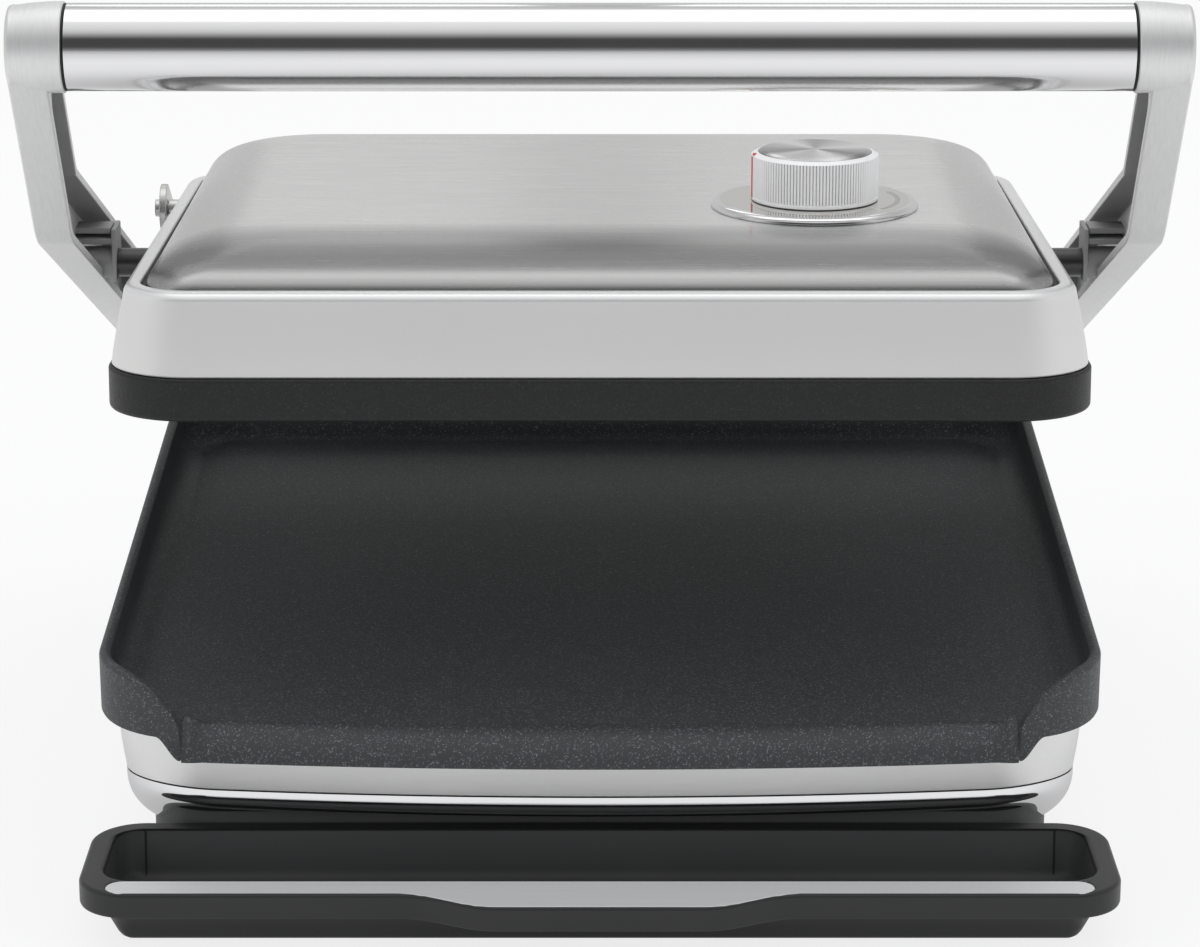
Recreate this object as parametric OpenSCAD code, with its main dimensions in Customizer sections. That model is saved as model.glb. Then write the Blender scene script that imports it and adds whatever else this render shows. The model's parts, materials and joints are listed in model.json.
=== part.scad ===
// Electric contact grill with a floating lid, drawn with the lid lifted level
// above the flat lower plate. Millimetres, +Z up, +Y to the back of the grill,
// origin on the worktop under the middle of the whole outline.

/* [Lower plate] */
// Outside width of the cast lower plate
plate_w = 305.6; // [280:1:330]
// Length of the lower plate from its front corners to its back wall
plate_l = 270; // [250:1:290]
// Slope of the plate, front low, so that fat runs to the front lip
plate_slope = 4.23; // [2:0.1:6]
// Place of the front corners behind the middle of the outline
plate_front_y = -145.5; // [-150:0.5:-140]
// Height of the wall's top edge over the worktop at the front corners
plate_front_z = 76.9; // [72:0.5:84]
// Thickness of the side and back walls
plate_wall_t = 3.4; // [2.5:0.1:5]
// Height of the walls over the cooking floor
plate_wall_h = 17; // [12:0.5:22]
// Thickness of the cooking floor
plate_floor_t = 4.2; // [3:0.1:6]
// Height of the wall's outside face, from its top edge down
plate_skirt_h = 19.4; // [18:0.2:24]
// Corner radius of the plate in plan
plate_corner_r = 27; // [20:1:34]
// Reach of the draining lip in front of the corners
lip_reach = 6; // [3:0.5:10]
// Width of the draining lip
lip_w = 253; // [220:1:270]
// Height of the lip's drip edge over the worktop
lip_edge_z = 50.8; // [48:0.2:54]
// Radius of the roll from the floor into the lip
lip_roll_r = 14; // [8:1:18]
// Radius of the swept shoulders where the front wall runs down to the lip
shoulder_r = 22; // [14:1:26]

/* [Base] */
// Overhang of the plate's front corners over the base's front
base_front_gap = 16.5; // [12:0.5:20]
// How far the brushed base band stands in from each side of the plate
base_side_in = 4.8; // [3:0.2:10]
// How far the band's back stands in from the plate's length
base_back_in = 13; // [10:0.5:20]
// Corner radius of the base band in plan
base_corner_r = 30; // [22:1:36]
// Sheet thickness of the base band and the bright trim
sheet_t = 1.2; // [0.8:0.1:2]
// Height of the band's lower edge over the worktop
band_bottom_z = 33.5; // [30:0.5:38]
// Height of the bright curved trim below the band
trim_h = 9.5; // [7:0.5:11]
// How far the bright trim curves in at its foot
trim_in = 9; // [5:0.5:12]
// Further step from the trim's foot back to the front of the pan
pan_step = 4.6; // [2:0.2:8]
// Wall and floor thickness of the black base pan
pan_t = 2.6; // [2:0.2:4]
// Height of the rubber feet below the pan
foot_h = 5; // [4:0.5:7]
// Radius of a rubber foot
foot_r = 10; // [7:0.5:13]
// Inset of the feet from the sides of the pan
foot_inset = 26; // [20:1:40]

/* [Hinge and lift] */
// Distance of the main hinge behind the base band
hinge_back = 45.5; // [40:0.5:52]
// Height of the main hinge over the worktop
hinge_z = 117; // [112:0.5:122]
// Diameter of the hinge shaft
hinge_shaft_d = 8; // [6:0.5:10]
// Thickness of each hinge post
post_t = 12; // [8:1:16]
// Running clearance between a shaft and its bore, on the radius
run_gap = 0.05; // [0.02:0.01:0.1]
// Flat clearance between parts that pass each other
pass_gap = 0.6; // [0.3:0.1:1]

/* [Arms and handle] */
// Distance of an arm's outer face from the side of the plate
arm_out_gap = 26.2; // [24:0.2:34]
// Width of an arm's channel across its open side
arm_channel_w = 12; // [9:0.5:14]
// Depth of an arm seen from the side
arm_depth = 25; // [20:0.5:30]
// Wall thickness of an arm's channel
arm_wall_t = 3; // [2:0.2:4]
// Place of the handle's centre
handle_y = -77.5; // [-85:0.5:-70]
// Height of the handle's centre over the worktop
handle_z = 256.1; // [245:0.5:265]
// Place of the arm's bend
bend_y = -31; // [-40:0.5:-20]
// Height of the arm's bend over the worktop
bend_z = 197.4; // [190:0.2:205]
// Diameter of the handle tube
handle_d = 26.7; // [22:0.1:30]
// Wall thickness of the handle tube
handle_t = 1.6; // [1:0.1:2.5]
// Length of an arm's head along the handle
head_l = 16.5; // [14:0.5:22]
// Radius of an arm's head round the handle
head_r = 13.9; // [12:0.1:16]
// Diameter of the rod that ties the heads together inside the handle
tie_rod_d = 8; // [6:0.5:10]

/* [Lid] */
// Tilt of the lifted lid, front high
lid_tilt = 2.72; // [1:0.1:5]
// Place of the lid's pivot on the arms
pivot_y = 38; // [30:0.5:45]
// Height of the lid's pivot over the worktop
pivot_z = 162.8; // [158:0.2:168]
// Distance of the pivot behind the middle of the lid
pivot_back = 33.6; // [25:0.2:40]
// Height of the pivot over the lower edge of the lid
pivot_up = 20.6; // [18:0.2:24]
// Diameter of the lid's pivot pins
pivot_d = 9.6; // [7:0.2:12]
// How far the lid's black band stands in from each side of the plate
lid_side_in = 2.6; // [0.6:0.2:6]
// Length of the lid, front to back
lid_l = 247; // [235:1:255]
// Corner radius of the lid in plan
lid_corner_r = 27; // [20:1:34]
// Height of the black band round the upper plate
band_h = 13.1; // [10:0.1:16]
// Height of the satin skirt over the band
skirt_h = 26; // [20:0.5:30]
// How far the skirt leans in from its foot to its rim
skirt_lean = 7; // [4:0.5:9]
// Width of the rolled rim on the skirt
rim_w = 3.4; // [2:0.2:5]
// Height of the brushed dome over the rim, at the middle of the lid
dome_h = 14.5; // [10:0.2:18]
// Slope of the dome's top against its rim, front low
dome_slope = 2; // [0:0.2:4]
// Width of the dome's rolled edge
dome_edge_w = 32; // [20:1:44]
// Sheet thickness of skirt and dome
lid_sheet_t = 1.2; // [0.8:0.1:2]
// Gap left between the lid's band and the plate's walls when it is shut
closed_gap = 0.8; // [0.5:0.1:2]
// Number of ribs under the upper plate
rib_count = 13; // [7:2:17]
// Width of a rib
rib_w = 6; // [4:0.5:8]
// How far the ribs reach below the lid's edge
rib_drop = 1.5; // [0:0.5:2]

/* [Dial] */
// Sideways place of the dial from the middle of the lid
dial_x = 68; // [50:1:80]
// Distance of the dial in front of the middle of the lid
dial_front = 40; // [30:1:50]
// Outside diameter of the dial's bezel
bezel_d = 66; // [56:1:72]
// Height of the bezel over the dome
bezel_h = 2.2; // [1:0.2:3]
// Diameter of the knob at its foot
knob_d = 40.5; // [34:0.5:46]
// Height of the ribbed knob
knob_h = 15; // [12:0.5:18]
// Diameter of the spun cap on the knob
cap_d = 35.8; // [30:0.2:38]
// Diameter of the thermostat spindle
spindle_d = 6; // [5:0.5:8]

/* [Levelling link] */
// Distance of the link's bolt behind the middle of the lid
link_back = 91; // [80:1:98]
// Height of the link's bolt over the lower edge of the lid
link_up = 29.5; // [26:0.5:33]
// Reach of the link from the middle of the bolt's travel to its rear pin
link_reach = 58; // [50:1:64]
// Half width of the link, and the radius of its ends
link_r = 8.4; // [7:0.2:10]
// Thickness of the link
link_t = 2.4; // [2:0.2:3]
// Diameter of the link's bolts
link_bolt_d = 4; // [3:0.5:5]

/* [Drip tray] */
// How far the tray's rim stands out past each side of the plate
tray_side_out = 3.1; // [0:0.1:6]
// Length of the tray's rim, front to back
tray_l = 60; // [54:0.5:66]
// Height of the tray's rim over the worktop
tray_top_z = 20.5; // [18:0.5:23]
// Height of the tray's underside over the worktop
tray_bottom_z = 1.4; // [1:0.2:3]
// Height of the rim's front face
tray_rim_h = 8; // [6:0.5:10]
// Width of the rim at the front
tray_rim_front = 12; // [9:0.5:15]
// Width of the rim at the back and the sides
tray_rim_side = 7; // [5:0.5:9]
// Wall and floor thickness of the tray's basin
tray_t = 2.4; // [1.6:0.2:3]
// Corner radius of the tray in plan
tray_corner_r = 16; // [10:1:20]
// How far the finger tab stands out in front
tab_reach = 10; // [6:0.5:14]
// Width of the finger tab where it leaves the rim
tab_w = 118; // [90:1:140]
// Width of each curved side of the finger tab
tab_side = 28; // [16:1:40]
// Width of the bright strip let into the rim
strip_w = 10; // [7:0.2:10.4]
// Travel of the tray to the front, held by its tongues all the way
tray_travel = 50; // [30:1:60]

/* [Hidden] */
$fn = 96;
tiny = 0.01;
hair = 0.05;
cut = 1;

// ---- lower plate frame: origin at the wall's top edge over the front corners
plate_bottom = -plate_skirt_h;
floor_top = -plate_wall_h;
floor_bottom = floor_top - plate_floor_t;

// ---- base
base_w = plate_w - 2 * base_side_in;
base_l = plate_l - base_back_in;
base_half = base_w / 2;
base_front_y = plate_front_y + base_front_gap;
base_back_y = base_front_y + base_l;
base_mid_y = (base_front_y + base_back_y) / 2;
trim_bottom_z = band_bottom_z - trim_h;
seam = 0.3;
pan_half = base_half - trim_in + 1;
pan_front_y = base_front_y + trim_in + pan_step;
pan_w = 2 * pan_half;
pan_l = base_back_y - trim_in - pan_front_y;
pan_mid_y = pan_front_y + pan_l / 2;
pan_top_z = trim_bottom_z - seam;

// ---- hinge, arms and lid
hinge_y = base_back_y + hinge_back;
arms_w = plate_w + 2 * arm_out_gap;
handle_l = arms_w - 2 * head_l;
lid_w = plate_w - 2 * lid_side_in;
arm_half = arms_w / 2;
arm_in = arm_half - arm_channel_w;
arm_r = arm_depth / 2;
head_in = handle_l / 2 + 1;
lift_radius = norm([hinge_y - pivot_y, pivot_z - hinge_z]);
shut_height = pivot_up + closed_gap
    + sin(plate_slope) * (hinge_y - plate_front_y)
    - cos(plate_slope) * (hinge_z - plate_front_z);
lift_down = asin(shut_height / lift_radius) - plate_slope;
shut_y = hinge_y - lift_radius * cos(lift_down);
shut_z = hinge_z + lift_radius * sin(lift_down);

// ---- lid frame: origin at the middle of the lid's lower edge plane
lid_half = lid_w / 2;
band_top = band_h;
rim_top = band_h + skirt_h;
rim_half = lid_half - skirt_lean;

// ---- levelling link: its bolt on the lid and its rear pin on the crank
function lid_to_part(y, z, tilt, at_y, at_z) =
    [at_y + (y - pivot_back) * cos(tilt) - (z - pivot_up) * sin(tilt),
     at_z + (y - pivot_back) * sin(tilt) + (z - pivot_up) * cos(tilt)];
bolt_up = lid_to_part(link_back, link_up, -lid_tilt, pivot_y, pivot_z);
bolt_down = lid_to_part(link_back, link_up, plate_slope, shut_y, shut_z);
bolt_mid = (bolt_up + bolt_down) / 2;
bolt_way = (bolt_up - bolt_down) / norm(bolt_up - bolt_down);
crank_at = bolt_mid + link_reach * [bolt_way[1], -bolt_way[0]];
link_len = norm(crank_at - bolt_up);
link_angle = atan2(crank_at[1] - bolt_up[1], crank_at[0] - bolt_up[0]);
crank_t = 2;
crank_in = base_half + pass_gap;
link_in = crank_in + crank_t + pass_gap;
link_out = link_in + link_t;
hinge_boss_in = link_out + 2.2;

// ---- screws, pillars, housing, gland
screw_d = 4;
screw_gap = 0.3;
screw_head_d = 8;
screw_head_h = 2.4;
screw_l = 16;
housing_screw_l = 9;
pillar_r = 7;
post_at = [[-100, -70], [100, -70], [-100, 95], [100, 95]];
post_screw_at = [[146, 46], [146, 74]];
post_screw_in = 8;
post_r = 11;
post_foot_l = 22;
post_foot_r = 4;
post_foot_y = base_back_y + seam + post_foot_l / 2;
post_foot_z = band_bottom_z + 1;
post_root = [post_foot_y + 3, post_foot_z + 30];
terminal_x = 30;
terminal_w = 36;
terminal_l = 20;
terminal_h = 14;
terminal_back = 42;
terminal_hole_r = 3;
pan_r = base_corner_r - trim_in;
housing_half = base_half - post_t - seam;
housing_top_z = 88;
housing_depth = 36;
housing_back_y = base_back_y + housing_depth;
housing_corner_r = 12;
housing_slant = 10;
housing_screw_at = [[-80, 42], [80, 42], [-80, 66], [80, 66]];
wire_hole_r = 9;
wire_hole_z = 54;
gland_x = 90;
gland_z = 24;
gland_r = 7;
gland_bore_r = 4.2;

// ---- tray and runners
tray_w = plate_w + 2 * tray_side_out;
tray_back_y = pan_front_y - pass_gap;
tray_front_y = tray_back_y - tray_l;
tray_mid_y = (tray_back_y + tray_front_y) / 2;
tab_steps = 16;
strip_edge = 0.8;
strip_t = 0.9;
strip_half = tray_w / 2 - 9;
basin_w = tray_w - 2 * tray_rim_side;
basin_l = tray_l - tray_rim_front - tray_rim_side;
basin_mid_y = tray_front_y + tray_rim_front + basin_l / 2;
basin_r = 8;
runner_x = 70;
runner_z = 12.6;
runner_l = 34;
runner_h = 11;
tongue_w = 22;
tongue_t = 2.6;
tongue_l = tray_travel + 5;

// ---- inside of the lower plate and its heater
floor_gap = 1;
floor_back_gap = 3;
plate_inner_w = base_w - 2 * sheet_t - 2 * floor_gap;
plate_inner_l = plate_l - base_front_gap - 2 * floor_back_gap;
plate_inner_y = base_front_gap + floor_back_gap + plate_inner_l / 2;
lip_drop = (plate_front_z - lip_edge_z) / cos(plate_slope) - plate_wall_h - lip_reach * tan(plate_slope);
lip_bow_r = 5 * plate_w;
lip_t = 4;
lip_root_l = 6;
element_d = 6.5;
element_w = 230;
element_l = 180;
element_bend = 36;
element_gap = 30;
cold_end_l = 16;
reflector_w = 262;
reflector_l = 220;
reflector_t = 0.8;
reflector_r = 20;

// ---- arms, shaft and pins
shaft_half = arm_half - arm_wall_t - 1;
tie_half = arm_half - 6;
plug_l = 10;
hollow_r = arm_r - arm_wall_t;
arm_out = ([bend_y, bend_z] - [handle_y, handle_z]) / norm([bend_y, bend_z] - [handle_y, handle_z]);
arm_down = ([hinge_y, hinge_z] - [bend_y, bend_z]) / norm([hinge_y, hinge_z] - [bend_y, bend_z]);
hollow_top = [handle_y, handle_z] + (head_r + hollow_r - 1) * arm_out;
hollow_end = [hinge_y, hinge_z] - (arm_r + hollow_r + 2) * arm_down;
pivot_boss_r = 8.2;
pivot_boss_in = 162.2;
arm_rib_t = 2;
arm_rib_at = [34, 44];
bolt_head_d = 6;
bolt_head_t = 1.8;
link_slot = 2.4;
link_slot_gap = 0.5;

// ---- inside of the lid
band_t = 5;
border_w = 13;
cook_face_w = 2.5;
plate_top_w = 7;
rib_end_gap = 4;
rib_l = lid_l - 2 * border_w - 2 * rib_end_gap;
rib_pitch = (lid_w - 2 * border_w - 2 * rib_end_gap) / rib_count;
skirt_step = 1;
rim_deep = 2.6;
ledge_w = 3;
dome_groove = 0.9;
dome_w = 2 * (rim_half - rim_w - dome_groove);
dome_l = lid_l - 2 * (skirt_lean + rim_w + dome_groove);
dome_corner_r = lid_corner_r - skirt_lean - rim_w - dome_groove;
dome_foot_w = rim_top - rim_deep + seam;
skirt_in = lid_half - skirt_lean - lid_sheet_t;
block_w = 16;
block_l = 26;
block_out = skirt_in - 0.4;
pin_in = block_out - block_w + 1;
pin_out = arm_half - arm_wall_t - 1;
reflector_up = plate_top_w + 2 * seam + element_d;
upper_reflector_w = 2 * (block_out - block_w) - 2;
lid_screw_foot = cook_face_w + 2;
lid_screw_head = reflector_up + reflector_t + 0.1;
lid_screw_at = [[-70, -50], [70, -50], [-70, 50], [70, 50]];
bolt_root = skirt_in - 2;
spacer_root = lid_half - 3.7;

// ---- thermostat and dial
bush_r = 5;
thermostat_r = 17;
thermostat_h = 18;
bezel_slope = 2.6;
mark_t = 0.4;
mark_r = 26.4;
mark_w = 1.6;
mark_from = -40;
mark_to = 25;
lens_w = 6.4;
lens_l = 2.6;
knob_foot = bezel_h + 0.6;
spindle_grip = 10;
knob_ribs = 72;
knob_rib_deep = 0.55;
cap_seat = 0.7;
cap_t = 1.4;
pointer_angle = 200;
pointer_w = 2.2;
pointer_deep = 1.6;

// ================= shared shapes =================

// A flat rectangle w by l with round corners, centred
module round_rect(w, l, r) {
    square([w - 2 * r, l], center = true);
    square([w, l - 2 * r], center = true);
    for (x = [-1, 1], y = [-1, 1])
        translate([x * (w / 2 - r), y * (l / 2 - r)]) circle(r);
}

// A round-cornered block standing on z = 0
module block(w, l, h, r) {
    linear_extrude(h) round_rect(w, l, r);
}

// The outline w by l with corners r, swept by a profile whose x runs outward
module swept_ring(w, l, r) {
    for (i = [0:3]) {
        half_x = (i % 2 == 0 ? w : l) / 2;
        half_y = (i % 2 == 0 ? l : w) / 2;
        rotate([0, 0, 90 * i]) {
            translate([half_x - r, half_y - r, 0])
                rotate_extrude(angle = 90) translate([r, 0]) children();
            translate([half_x, half_y - r, 0]) rotate([90, 0, 0])
                linear_extrude(2 * (half_y - r)) children();
        }
    }
}

// A cylinder along X from x0 to x1 at height z
module bar_x(x0, x1, y, z, r) {
    translate([x0, y, z]) rotate([0, 90, 0]) cylinder(r = r, h = x1 - x0);
}

// A side-view shape, drawn as (y, z), made solid from x0 to x1
module side_solid(x0, x1) {
    translate([x0, 0, 0]) rotate([90, 0, 90]) linear_extrude(x1 - x0) children();
}

// A straight bar between two side-view points, a hair narrower than the ends it joins
module straight(a, b, r) {
    translate(a) rotate(atan2(b[1] - a[1], b[0] - a[0]))
        translate([0, hair - r]) square([norm(b - a), 2 * (r - hair)]);
}

// A round-ended strip between two side-view points
module strip(a, b, r) {
    translate(a) circle(r);
    translate(b) circle(r);
    straight(a, b, r);
}

// Children drawn in the lower plate's sloping frame
module on_plate() {
    translate([0, plate_front_y, plate_front_z]) rotate([plate_slope, 0, 0]) children();
}

// Children drawn in the lid's frame, with the lid lifted
module on_lid() {
    translate([0, pivot_y, pivot_z]) rotate([-lid_tilt, 0, 0])
        translate([0, -pivot_back, -pivot_up]) children();
}

// ================= base =================

foot_at = [[pan_half - foot_inset, pan_front_y + foot_inset],
    [-pan_half + foot_inset, pan_front_y + foot_inset],
    [pan_half - foot_inset, housing_back_y - foot_inset],
    [-pan_half + foot_inset, housing_back_y - foot_inset]];

module feet() {
    color("#1c1c1c") for (p = foot_at) translate([p[0], p[1], 0])
        cylinder(r = foot_r, h = foot_h - seam);
}

module base_pan() {
    color("#202122") difference() {
        translate([0, pan_mid_y, foot_h]) block(pan_w, pan_l, pan_top_z - foot_h, pan_r);
        translate([0, pan_mid_y, foot_h + pan_t])
            block(pan_w - 2 * pan_t, pan_l - 2 * pan_t, pan_top_z, pan_r - pan_t);
        for (p = post_at) translate([p[0], p[1], 0]) {
            cylinder(r = screw_d / 2 + screw_gap, h = pan_top_z);
            cylinder(r = screw_head_d / 2 + screw_gap, h = foot_h + screw_head_h);
        }
        for (x = [-1, 1]) runner_slot(x);
    }
}

module base_screws() {
    color("#9a9c9e") for (p = post_at) translate([p[0], p[1], foot_h + 0.4]) {
        cylinder(r = screw_head_d / 2, h = screw_head_h - 0.4);
        cylinder(r = screw_d / 2, h = screw_l);
    }
}

// The lower plate is carried on four pillars that follow its slope
module plate_posts() {
    color("#8d8f91") difference() {
        for (p = post_at) translate([p[0], p[1], foot_h + pan_t + seam])
            cylinder(r = pillar_r, h = plate_front_z);
        on_plate() translate([-base_w, -cut, floor_bottom - seam])
            cube([2 * base_w, 2 * plate_l, plate_front_z]);
        for (p = post_at) translate([p[0], p[1], 0])
            cylinder(r = screw_d / 2 + run_gap, h = foot_h + screw_l + 1);
    }
}

module base_shell() {
    color("#c4c6c8") difference() {
        translate([0, base_mid_y, band_bottom_z])
            block(base_w, base_l, plate_front_z, base_corner_r);
        translate([0, base_mid_y, band_bottom_z - cut])
            block(base_w - 2 * sheet_t, base_l - 2 * sheet_t, plate_front_z + 2 * cut,
                base_corner_r - sheet_t);
        on_plate() translate([-base_w, -plate_l, plate_bottom - seam])
            cube([2 * base_w, 3 * plate_l, plate_front_z]);
        back_holes();
    }
}

// Passage for the wires and screw holes through the base's back and the housing's front
module back_holes() {
    translate([terminal_x, base_back_y, wire_hole_z]) rotate([90, 0, 0])
        cylinder(r = wire_hole_r, h = 4 * pan_t, center = true);
    for (p = housing_screw_at) translate([p[0], base_back_y, p[1]]) rotate([90, 0, 0])
        cylinder(r = screw_d / 2 + run_gap, h = 4 * pan_t, center = true);
}

module housing_screws() {
    color("#9a9c9e") for (p = housing_screw_at)
        translate([p[0], base_back_y - sheet_t - screw_gap, p[1]]) rotate([-90, 0, 0]) {
            translate([0, 0, -screw_head_h]) cylinder(r = screw_head_d / 2, h = screw_head_h);
            cylinder(r = screw_d / 2, h = housing_screw_l);
        }
}

// The bright trim starts upright under the band and curves in to the pan
module chrome_trim() {
    steps = 8;
    outer = [for (i = [0:steps]) [-trim_in * (1 - cos(90 * i / steps)),
        trim_h * (1 - sin(90 * i / steps))]];
    inner = [for (i = [steps:-1:0]) [-sheet_t - (trim_in - sheet_t) * (1 - cos(90 * i / steps)),
        sheet_t + (trim_h - sheet_t) * (1 - sin(90 * i / steps))]];
    color("#e6e8ea") translate([0, base_mid_y, trim_bottom_z])
        swept_ring(base_w, base_l, base_corner_r)
            translate([0, -seam]) polygon(concat(outer, inner));
}

// The housing's outside, or its hollow when drawn inset by a wall
module housing_shape(inset) {
    half = housing_half - inset;
    front = base_back_y + seam + inset;
    back = housing_back_y - inset;
    top = housing_top_z - inset;
    intersection() {
        side_solid(-half, half) polygon([[front, foot_h + inset], [back, foot_h + inset],
            [back, top - housing_slant], [back - housing_slant, top], [front, top]]);
        translate([0, front, 0])
            block(2 * half, 2 * (back - front), housing_top_z, housing_corner_r - inset);
    }
}

module rear_housing() {
    color("#222324") difference() {
        housing_shape(0);
        housing_shape(pan_t);
        back_holes();
        translate([gland_x, housing_back_y, gland_z]) rotate([90, 0, 0])
            cylinder(r = gland_r + seam, h = 4 * pan_t, center = true);
        for (p = post_screw_at)
            bar_x(-housing_half - cut, housing_half + cut, p[0], p[1], screw_d / 2 + screw_gap);
    }
}

// A post rises from the base's back to one end of the hinge shaft
module hinge_post() {
    difference() {
        side_solid(base_half - post_t, base_half) {
            translate([hinge_y, hinge_z]) circle(arm_r);
            straight(post_root, [hinge_y, hinge_z], post_r);
            translate(post_root) circle(post_r);
            translate([post_foot_y, (post_foot_z + housing_top_z) / 2])
                round_rect(post_foot_l, housing_top_z - post_foot_z, post_foot_r);
        }
        bar_x(base_half - post_t - cut, base_half + cut, hinge_y, hinge_z,
            hinge_shaft_d / 2 + run_gap);
        for (p = post_screw_at)
            bar_x(base_half - post_t - cut, base_half - post_t + post_screw_in + 1, p[0], p[1],
                screw_d / 2 + run_gap);
    }
}

module left_hinge_post() {
    color("#2a2b2c") mirror([1, 0, 0]) hinge_post();
}

module right_hinge_post() {
    color("#2a2b2c") hinge_post();
}

module post_screws() {
    head_at = housing_half - pan_t - seam;
    color("#9a9c9e") for (s = [0, 1], p = post_screw_at) mirror([s, 0, 0]) {
        bar_x(head_at - tiny, base_half - post_t + post_screw_in, p[0], p[1], screw_d / 2);
        bar_x(head_at - screw_head_h, head_at, p[0], p[1], screw_head_d / 2);
    }
}

module cord_gland() {
    color("#161616") translate([gland_x, housing_back_y, gland_z]) rotate([-90, 0, 0])
        difference() {
            union() {
                translate([0, 0, -2 * pan_t]) cylinder(r = gland_r, h = 2 * pan_t + 7);
                translate([0, 0, seam]) cylinder(r = gland_r + 2.5, h = 2);
                translate([0, 0, -2 * pan_t]) cylinder(r = gland_r + 2, h = pan_t - seam);
            }
            translate([0, 0, -3 * pan_t]) cylinder(r = gland_bore_r, h = 40);
        }
}

module terminal_block() {
    color("#d8d2c0") translate([terminal_x - terminal_w / 2, base_back_y - terminal_back - terminal_l,
        foot_h + pan_t + seam]) difference() {
            cube([terminal_w, terminal_l, terminal_h]);
            for (i = [1, 3, 5]) translate([i * terminal_w / 6, terminal_l / 2, terminal_hole_r])
                cylinder(r = terminal_hole_r, h = terminal_h);
        }
}

// ================= drip tray and its runners =================

module runner_slot(x) {
    translate([x * runner_x, pan_front_y, runner_z + tongue_t / 2])
        cube([tongue_w + 2 * pass_gap, 8 * pan_t, tongue_t + 2 * pass_gap], center = true);
}

module tray_runners() {
    color("#2f3032") for (x = [-1, 1]) difference() {
        translate([x * runner_x, pan_front_y + pan_t + seam + runner_l / 2,
            foot_h + pan_t + seam + runner_h / 2])
            cube([tongue_w + 8, runner_l, runner_h], center = true);
        translate([x * runner_x, pan_front_y + runner_l / 2, runner_z + tongue_t / 2])
            cube([tongue_w + 2 * pass_gap, runner_l + 40, tongue_t + 2 * pass_gap], center = true);
    }
}

// Forward reach of the finger tab at x, easing in and out along its sides
function tab_at(x) = tab_reach * (1 - cos(180 * min(1, max(0, (tab_w / 2 - abs(x)) / tab_side)))) / 2;

// The rim's front edge moved back by inset, as points from left to right
function tab_line(inset) = [for (i = [-tab_steps:tab_steps])
    [tab_w / 2 * i / tab_steps, tray_front_y + inset - tab_at(tab_w / 2 * i / tab_steps)]];

module tray_rim_outline() {
    translate([0, tray_mid_y]) round_rect(tray_w, tray_l, tray_corner_r);
    polygon(concat(tab_line(0), [[tab_w / 2, tray_mid_y], [-tab_w / 2, tray_mid_y]]));
}

// The bright strip follows the rim's front edge and widens into the tab
module strip_outline(gap) {
    translate([0, tray_front_y + strip_edge + strip_w / 2])
        round_rect(2 * strip_half + 2 * gap, strip_w + 2 * gap, (strip_w + 2 * gap) / 2 - tiny);
    polygon(concat(tab_line(strip_edge - gap),
        [[tab_w / 2, tray_front_y + strip_edge + strip_w / 2],
         [-tab_w / 2, tray_front_y + strip_edge + strip_w / 2]]));
}

module drip_tray() {
    color("#1d1e1f") {
        difference() {
            union() {
                translate([0, 0, tray_top_z - tray_rim_h]) linear_extrude(tray_rim_h) tray_rim_outline();
                translate([0, basin_mid_y, tray_bottom_z])
                    block(basin_w + 2 * tray_t, basin_l + 2 * tray_t, tray_top_z - tray_bottom_z - 1,
                        basin_r + tray_t);
            }
            translate([0, basin_mid_y, tray_bottom_z + tray_t])
                block(basin_w, basin_l, tray_top_z, basin_r);
            translate([0, 0, tray_top_z - strip_t]) linear_extrude(strip_t + cut)
                strip_outline(0.15);
        }
        for (x = [-1, 1]) translate([x * runner_x - tongue_w / 2, tray_back_y - tray_rim_side / 2, runner_z])
            cube([tongue_w, tongue_l + tray_rim_side / 2, tongue_t]);
    }
}

module tray_strip() {
    color("#c9cbcd") translate([0, 0, tray_top_z - strip_t + 0.05])
        linear_extrude(strip_t - 0.15) strip_outline(0);
}

// ================= lower plate =================

module lower_plate() {
    color("#2b2d2e") on_plate() difference() {
        union() {
            translate([0, plate_l / 2, plate_bottom])
                block(plate_w, plate_l, plate_skirt_h, plate_corner_r);
            translate([0, plate_inner_y, floor_bottom])
                block(plate_inner_w, plate_inner_l, plate_floor_t, base_corner_r - sheet_t);
            lip();
        }
        translate([0, plate_l / 2, floor_top])
            block(plate_w - 2 * plate_wall_t, plate_l - 2 * plate_wall_t, plate_skirt_h,
                plate_corner_r - plate_wall_t);
        front_opening();
    }
}

// The floor runs over the front edge and rolls down to a drip edge, bowed in plan
module lip() {
    roll_y = -lip_reach + sqrt(lip_roll_r * lip_roll_r - pow(lip_roll_r - lip_drop, 2));
    intersection() {
        side_solid(-lip_w / 2, lip_w / 2) intersection() {
            union() {
                translate([roll_y - tiny, floor_top - lip_t]) square([lip_root_l, lip_t]);
                difference() {
                    translate([roll_y, floor_top - lip_roll_r]) circle(lip_roll_r);
                    translate([roll_y, floor_top - lip_roll_r]) circle(lip_roll_r - lip_t);
                    translate([roll_y, -2 * plate_l]) square(2 * plate_l + cut);
                }
            }
            translate([-2 * lip_roll_r, floor_top - lip_drop]) square([4 * lip_roll_r, lip_drop]);
        }
        translate([0, lip_bow_r - lip_reach, -plate_l]) cylinder(r = lip_bow_r, h = 2 * plate_l, $fn = 720);
    }
}

// What is left open between the two swept shoulders of the front wall
module front_opening() {
    side = lip_w / 2 + shoulder_r;
    translate([0, plate_corner_r, 0]) rotate([90, 0, 0]) linear_extrude(2 * plate_corner_r)
        difference() {
            translate([-side, floor_top]) square([2 * side, plate_skirt_h + cut]);
            for (x = [-1, 1]) translate([x * side, -shoulder_r]) circle(shoulder_r);
        }
}

module lower_element() {
    color("#6d6a66") on_plate()
        translate([0, plate_l / 2, floor_bottom - seam - element_d / 2]) element_loop();
}

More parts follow.
